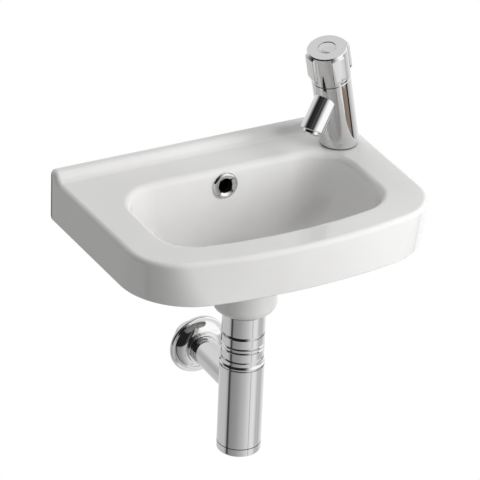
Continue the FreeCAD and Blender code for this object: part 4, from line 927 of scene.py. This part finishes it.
def studio_piece(name, mesh, material, hidden_from):
    """Links a mesh of the studio, which some kinds of ray don't see."""
    mesh.materials.append(material)
    piece = bpy.data.objects.new(name, mesh)
    bpy.context.scene.collection.objects.link(piece)
    for kind in hidden_from:
        setattr(piece, "visible_" + kind, False)
    return piece


print("mirrors alone see what hides from", ", ".join(MIRRORS_ONLY))

# %% [markdown]
# The three rings of bands meet at two soft edges. The room gives no light, casts no
# shadow and hides from the camera, so it can be as dark and as bright as it likes.

# %% Room that mirrors see
ROOM_RADIUS, ROOM_COLUMNS, ROOM_ROWS = 6, 32, 16


def height_step(angle, soft):
    """Rises from 0 to 1 over a soft edge at an angle above the horizon."""
    return add_node(tree, "ShaderNodeMapRange", {
        "Value": way["Z"],
        "From Min": math.sin(math.radians(angle - soft)),
        "From Max": math.sin(math.radians(angle + soft)),
    }, interpolation_type="SMOOTHSTEP").outputs[0]


walls = mix_colours(tree, height_step(FLOOR_EDGE, FLOOR_SOFT), floor_tone, wall_tone)
full = mix_colours(tree, height_step(TOP_EDGE, TOP_SOFT), walls, top_tone)
tree.links.new(glowing(tree, full), output.inputs["Surface"])
room_mesh = bpy.data.meshes.new("room")
form = bmesh.new()
bmesh.ops.create_uvsphere(form, u_segments=ROOM_COLUMNS, v_segments=ROOM_ROWS, radius=ROOM_RADIUS)
form.to_mesh(room_mesh)
form.free()
room = studio_piece("room", room_mesh, room_material, MIRRORS_ONLY)
print("room of", 2 * ROOM_RADIUS, "m across")

# %% [markdown]
# A dark card lies low on the right. The tap looks down on it and mirrors it as a
# brown wedge that ends at the handle. The trap and its wall cover see it edge on,
# so it leaves nothing on them. Its corners are angles and distances from the tap.

# %% Dark card to the right of the tap
CARD_EYE, CARD_LEVEL = Vector((0.14, -0.06)), -0.22
CARD_CORNERS = [(-41.1, 0.27), (-14.8, 0.275), (-11.7, 0.75), (-52.6, 0.465)]
CARD_FROM, CARD_TO = -62.6, -10.9
CARD_TONES = [(0, "#241a16"), (0.12, "#2e2420"), (0.2, "#8a7a70"), (0.7, "#a39488"),
              (0.85, "#2e2420"), (1, "#241a16")]
corners = [(CARD_EYE.x + reach * math.cos(math.radians(angle)),
            CARD_EYE.y + reach * math.sin(math.radians(angle)), CARD_LEVEL)
           for angle, reach in CARD_CORNERS]
card_mesh = bpy.data.meshes.new("dark_card")
card_mesh.from_pydata(corners, [], [(0, 1, 2, 3)])
card_material, tree, output, place = new_material("dark_card")
offset = axis_parts(tree, vector_maths(tree, "SUBTRACT", place, (*CARD_EYE, 0)))
across = add_node(tree, "ShaderNodeMapRange", {
    "Value": maths(tree, "ARCTAN2", offset["Y"], offset["X"]),
    "From Min": math.radians(CARD_FROM), "From Max": math.radians(CARD_TO)}).outputs[0]
shade = colour_ramp(tree, across, [(share, linear(code)) for share, code in CARD_TONES])
tree.links.new(glowing(tree, shade), output.inputs["Surface"])
card = studio_piece("dark_card", card_mesh, card_material, MIRRORS_ONLY)
print("card corners", [[round(v, 2) for v in corner[:2]] for corner in corners])

# %% [markdown]
# The floor is plain and as pale as the backdrop, at its real distance under a basin
# hung with its rim 850 mm up. Seen from under the object it is clear.

# %% Pale floor
FLOOR_DROP, FLOOR_HALF = 850, 6000
floor_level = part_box("basin")[1].z - FLOOR_DROP * MM
corners = [(x * FLOOR_HALF * MM, y * FLOOR_HALF * MM, floor_level)
           for x, y in ((-1, -1), (1, -1), (1, 1), (-1, 1))]
floor_mesh = bpy.data.meshes.new("floor")
floor_mesh.from_pydata(corners, [], [(0, 1, 2, 3)])
floor_material, tree, output, place = new_material("pale_floor")
clear = add_node(tree, "ShaderNodeBsdfTransparent").outputs[0]
below = add_node(tree, "ShaderNodeNewGeometry").outputs["Backfacing"]
seen = add_node(tree, "ShaderNodeMixShader", {
    0: below, 1: glowing(tree, WHITE), 2: clear}).outputs[0]
tree.links.new(seen, output.inputs["Surface"])
floor = studio_piece("floor", floor_mesh, floor_material, CAMERA_ONLY)
print("floor at", round(floor_level, 3), "m")

# %% [markdown]
# A broad soft lamp in front and to the right lights the front and leaves the left
# side in shade. A weaker one over the wall lights the rim and the bowl's front.
# Each lamp is a metre wide, which keeps its shadows soft. Mirrors see the room
# instead of the lamps.

# %% Lamps
AIM = (0.0, -0.12, 0.0)
LAMP_WIDTH = 1.0
LAMPS = [
    ("key_low", (1.53, -1.65, 0.38), 22),
    ("key_high", (1.27, -1.39, 1.26), 15),
    ("over_the_wall", (0.0, 0.98, 1.9), 9),
    ("fill", (0.0, -2.3, 0.38), 4),
    ("right", (1.1, -0.12, 1.9), 2),
]
for name, spot, power in LAMPS:
    data = bpy.data.lights.new(name, "AREA")
    data.size = LAMP_WIDTH
    data.energy = power
    lamp = bpy.data.objects.new(name, data)
    facing = (Vector(AIM) - Vector(spot)).to_track_quat("-Z", "Y")
    lamp.matrix_world = Matrix.Translation(spot) @ facing.to_matrix().to_4x4()
    lamp.visible_glossy = False
    bpy.context.scene.collection.objects.link(lamp)
print(len(LAMPS), "lamps,", sum(power for name, spot, power in LAMPS), "watts")

# %% [markdown]
# The Standard view shows each colour as it is written.

# %% Picture settings
scene = bpy.context.scene
scene.view_settings.view_transform = "Standard"
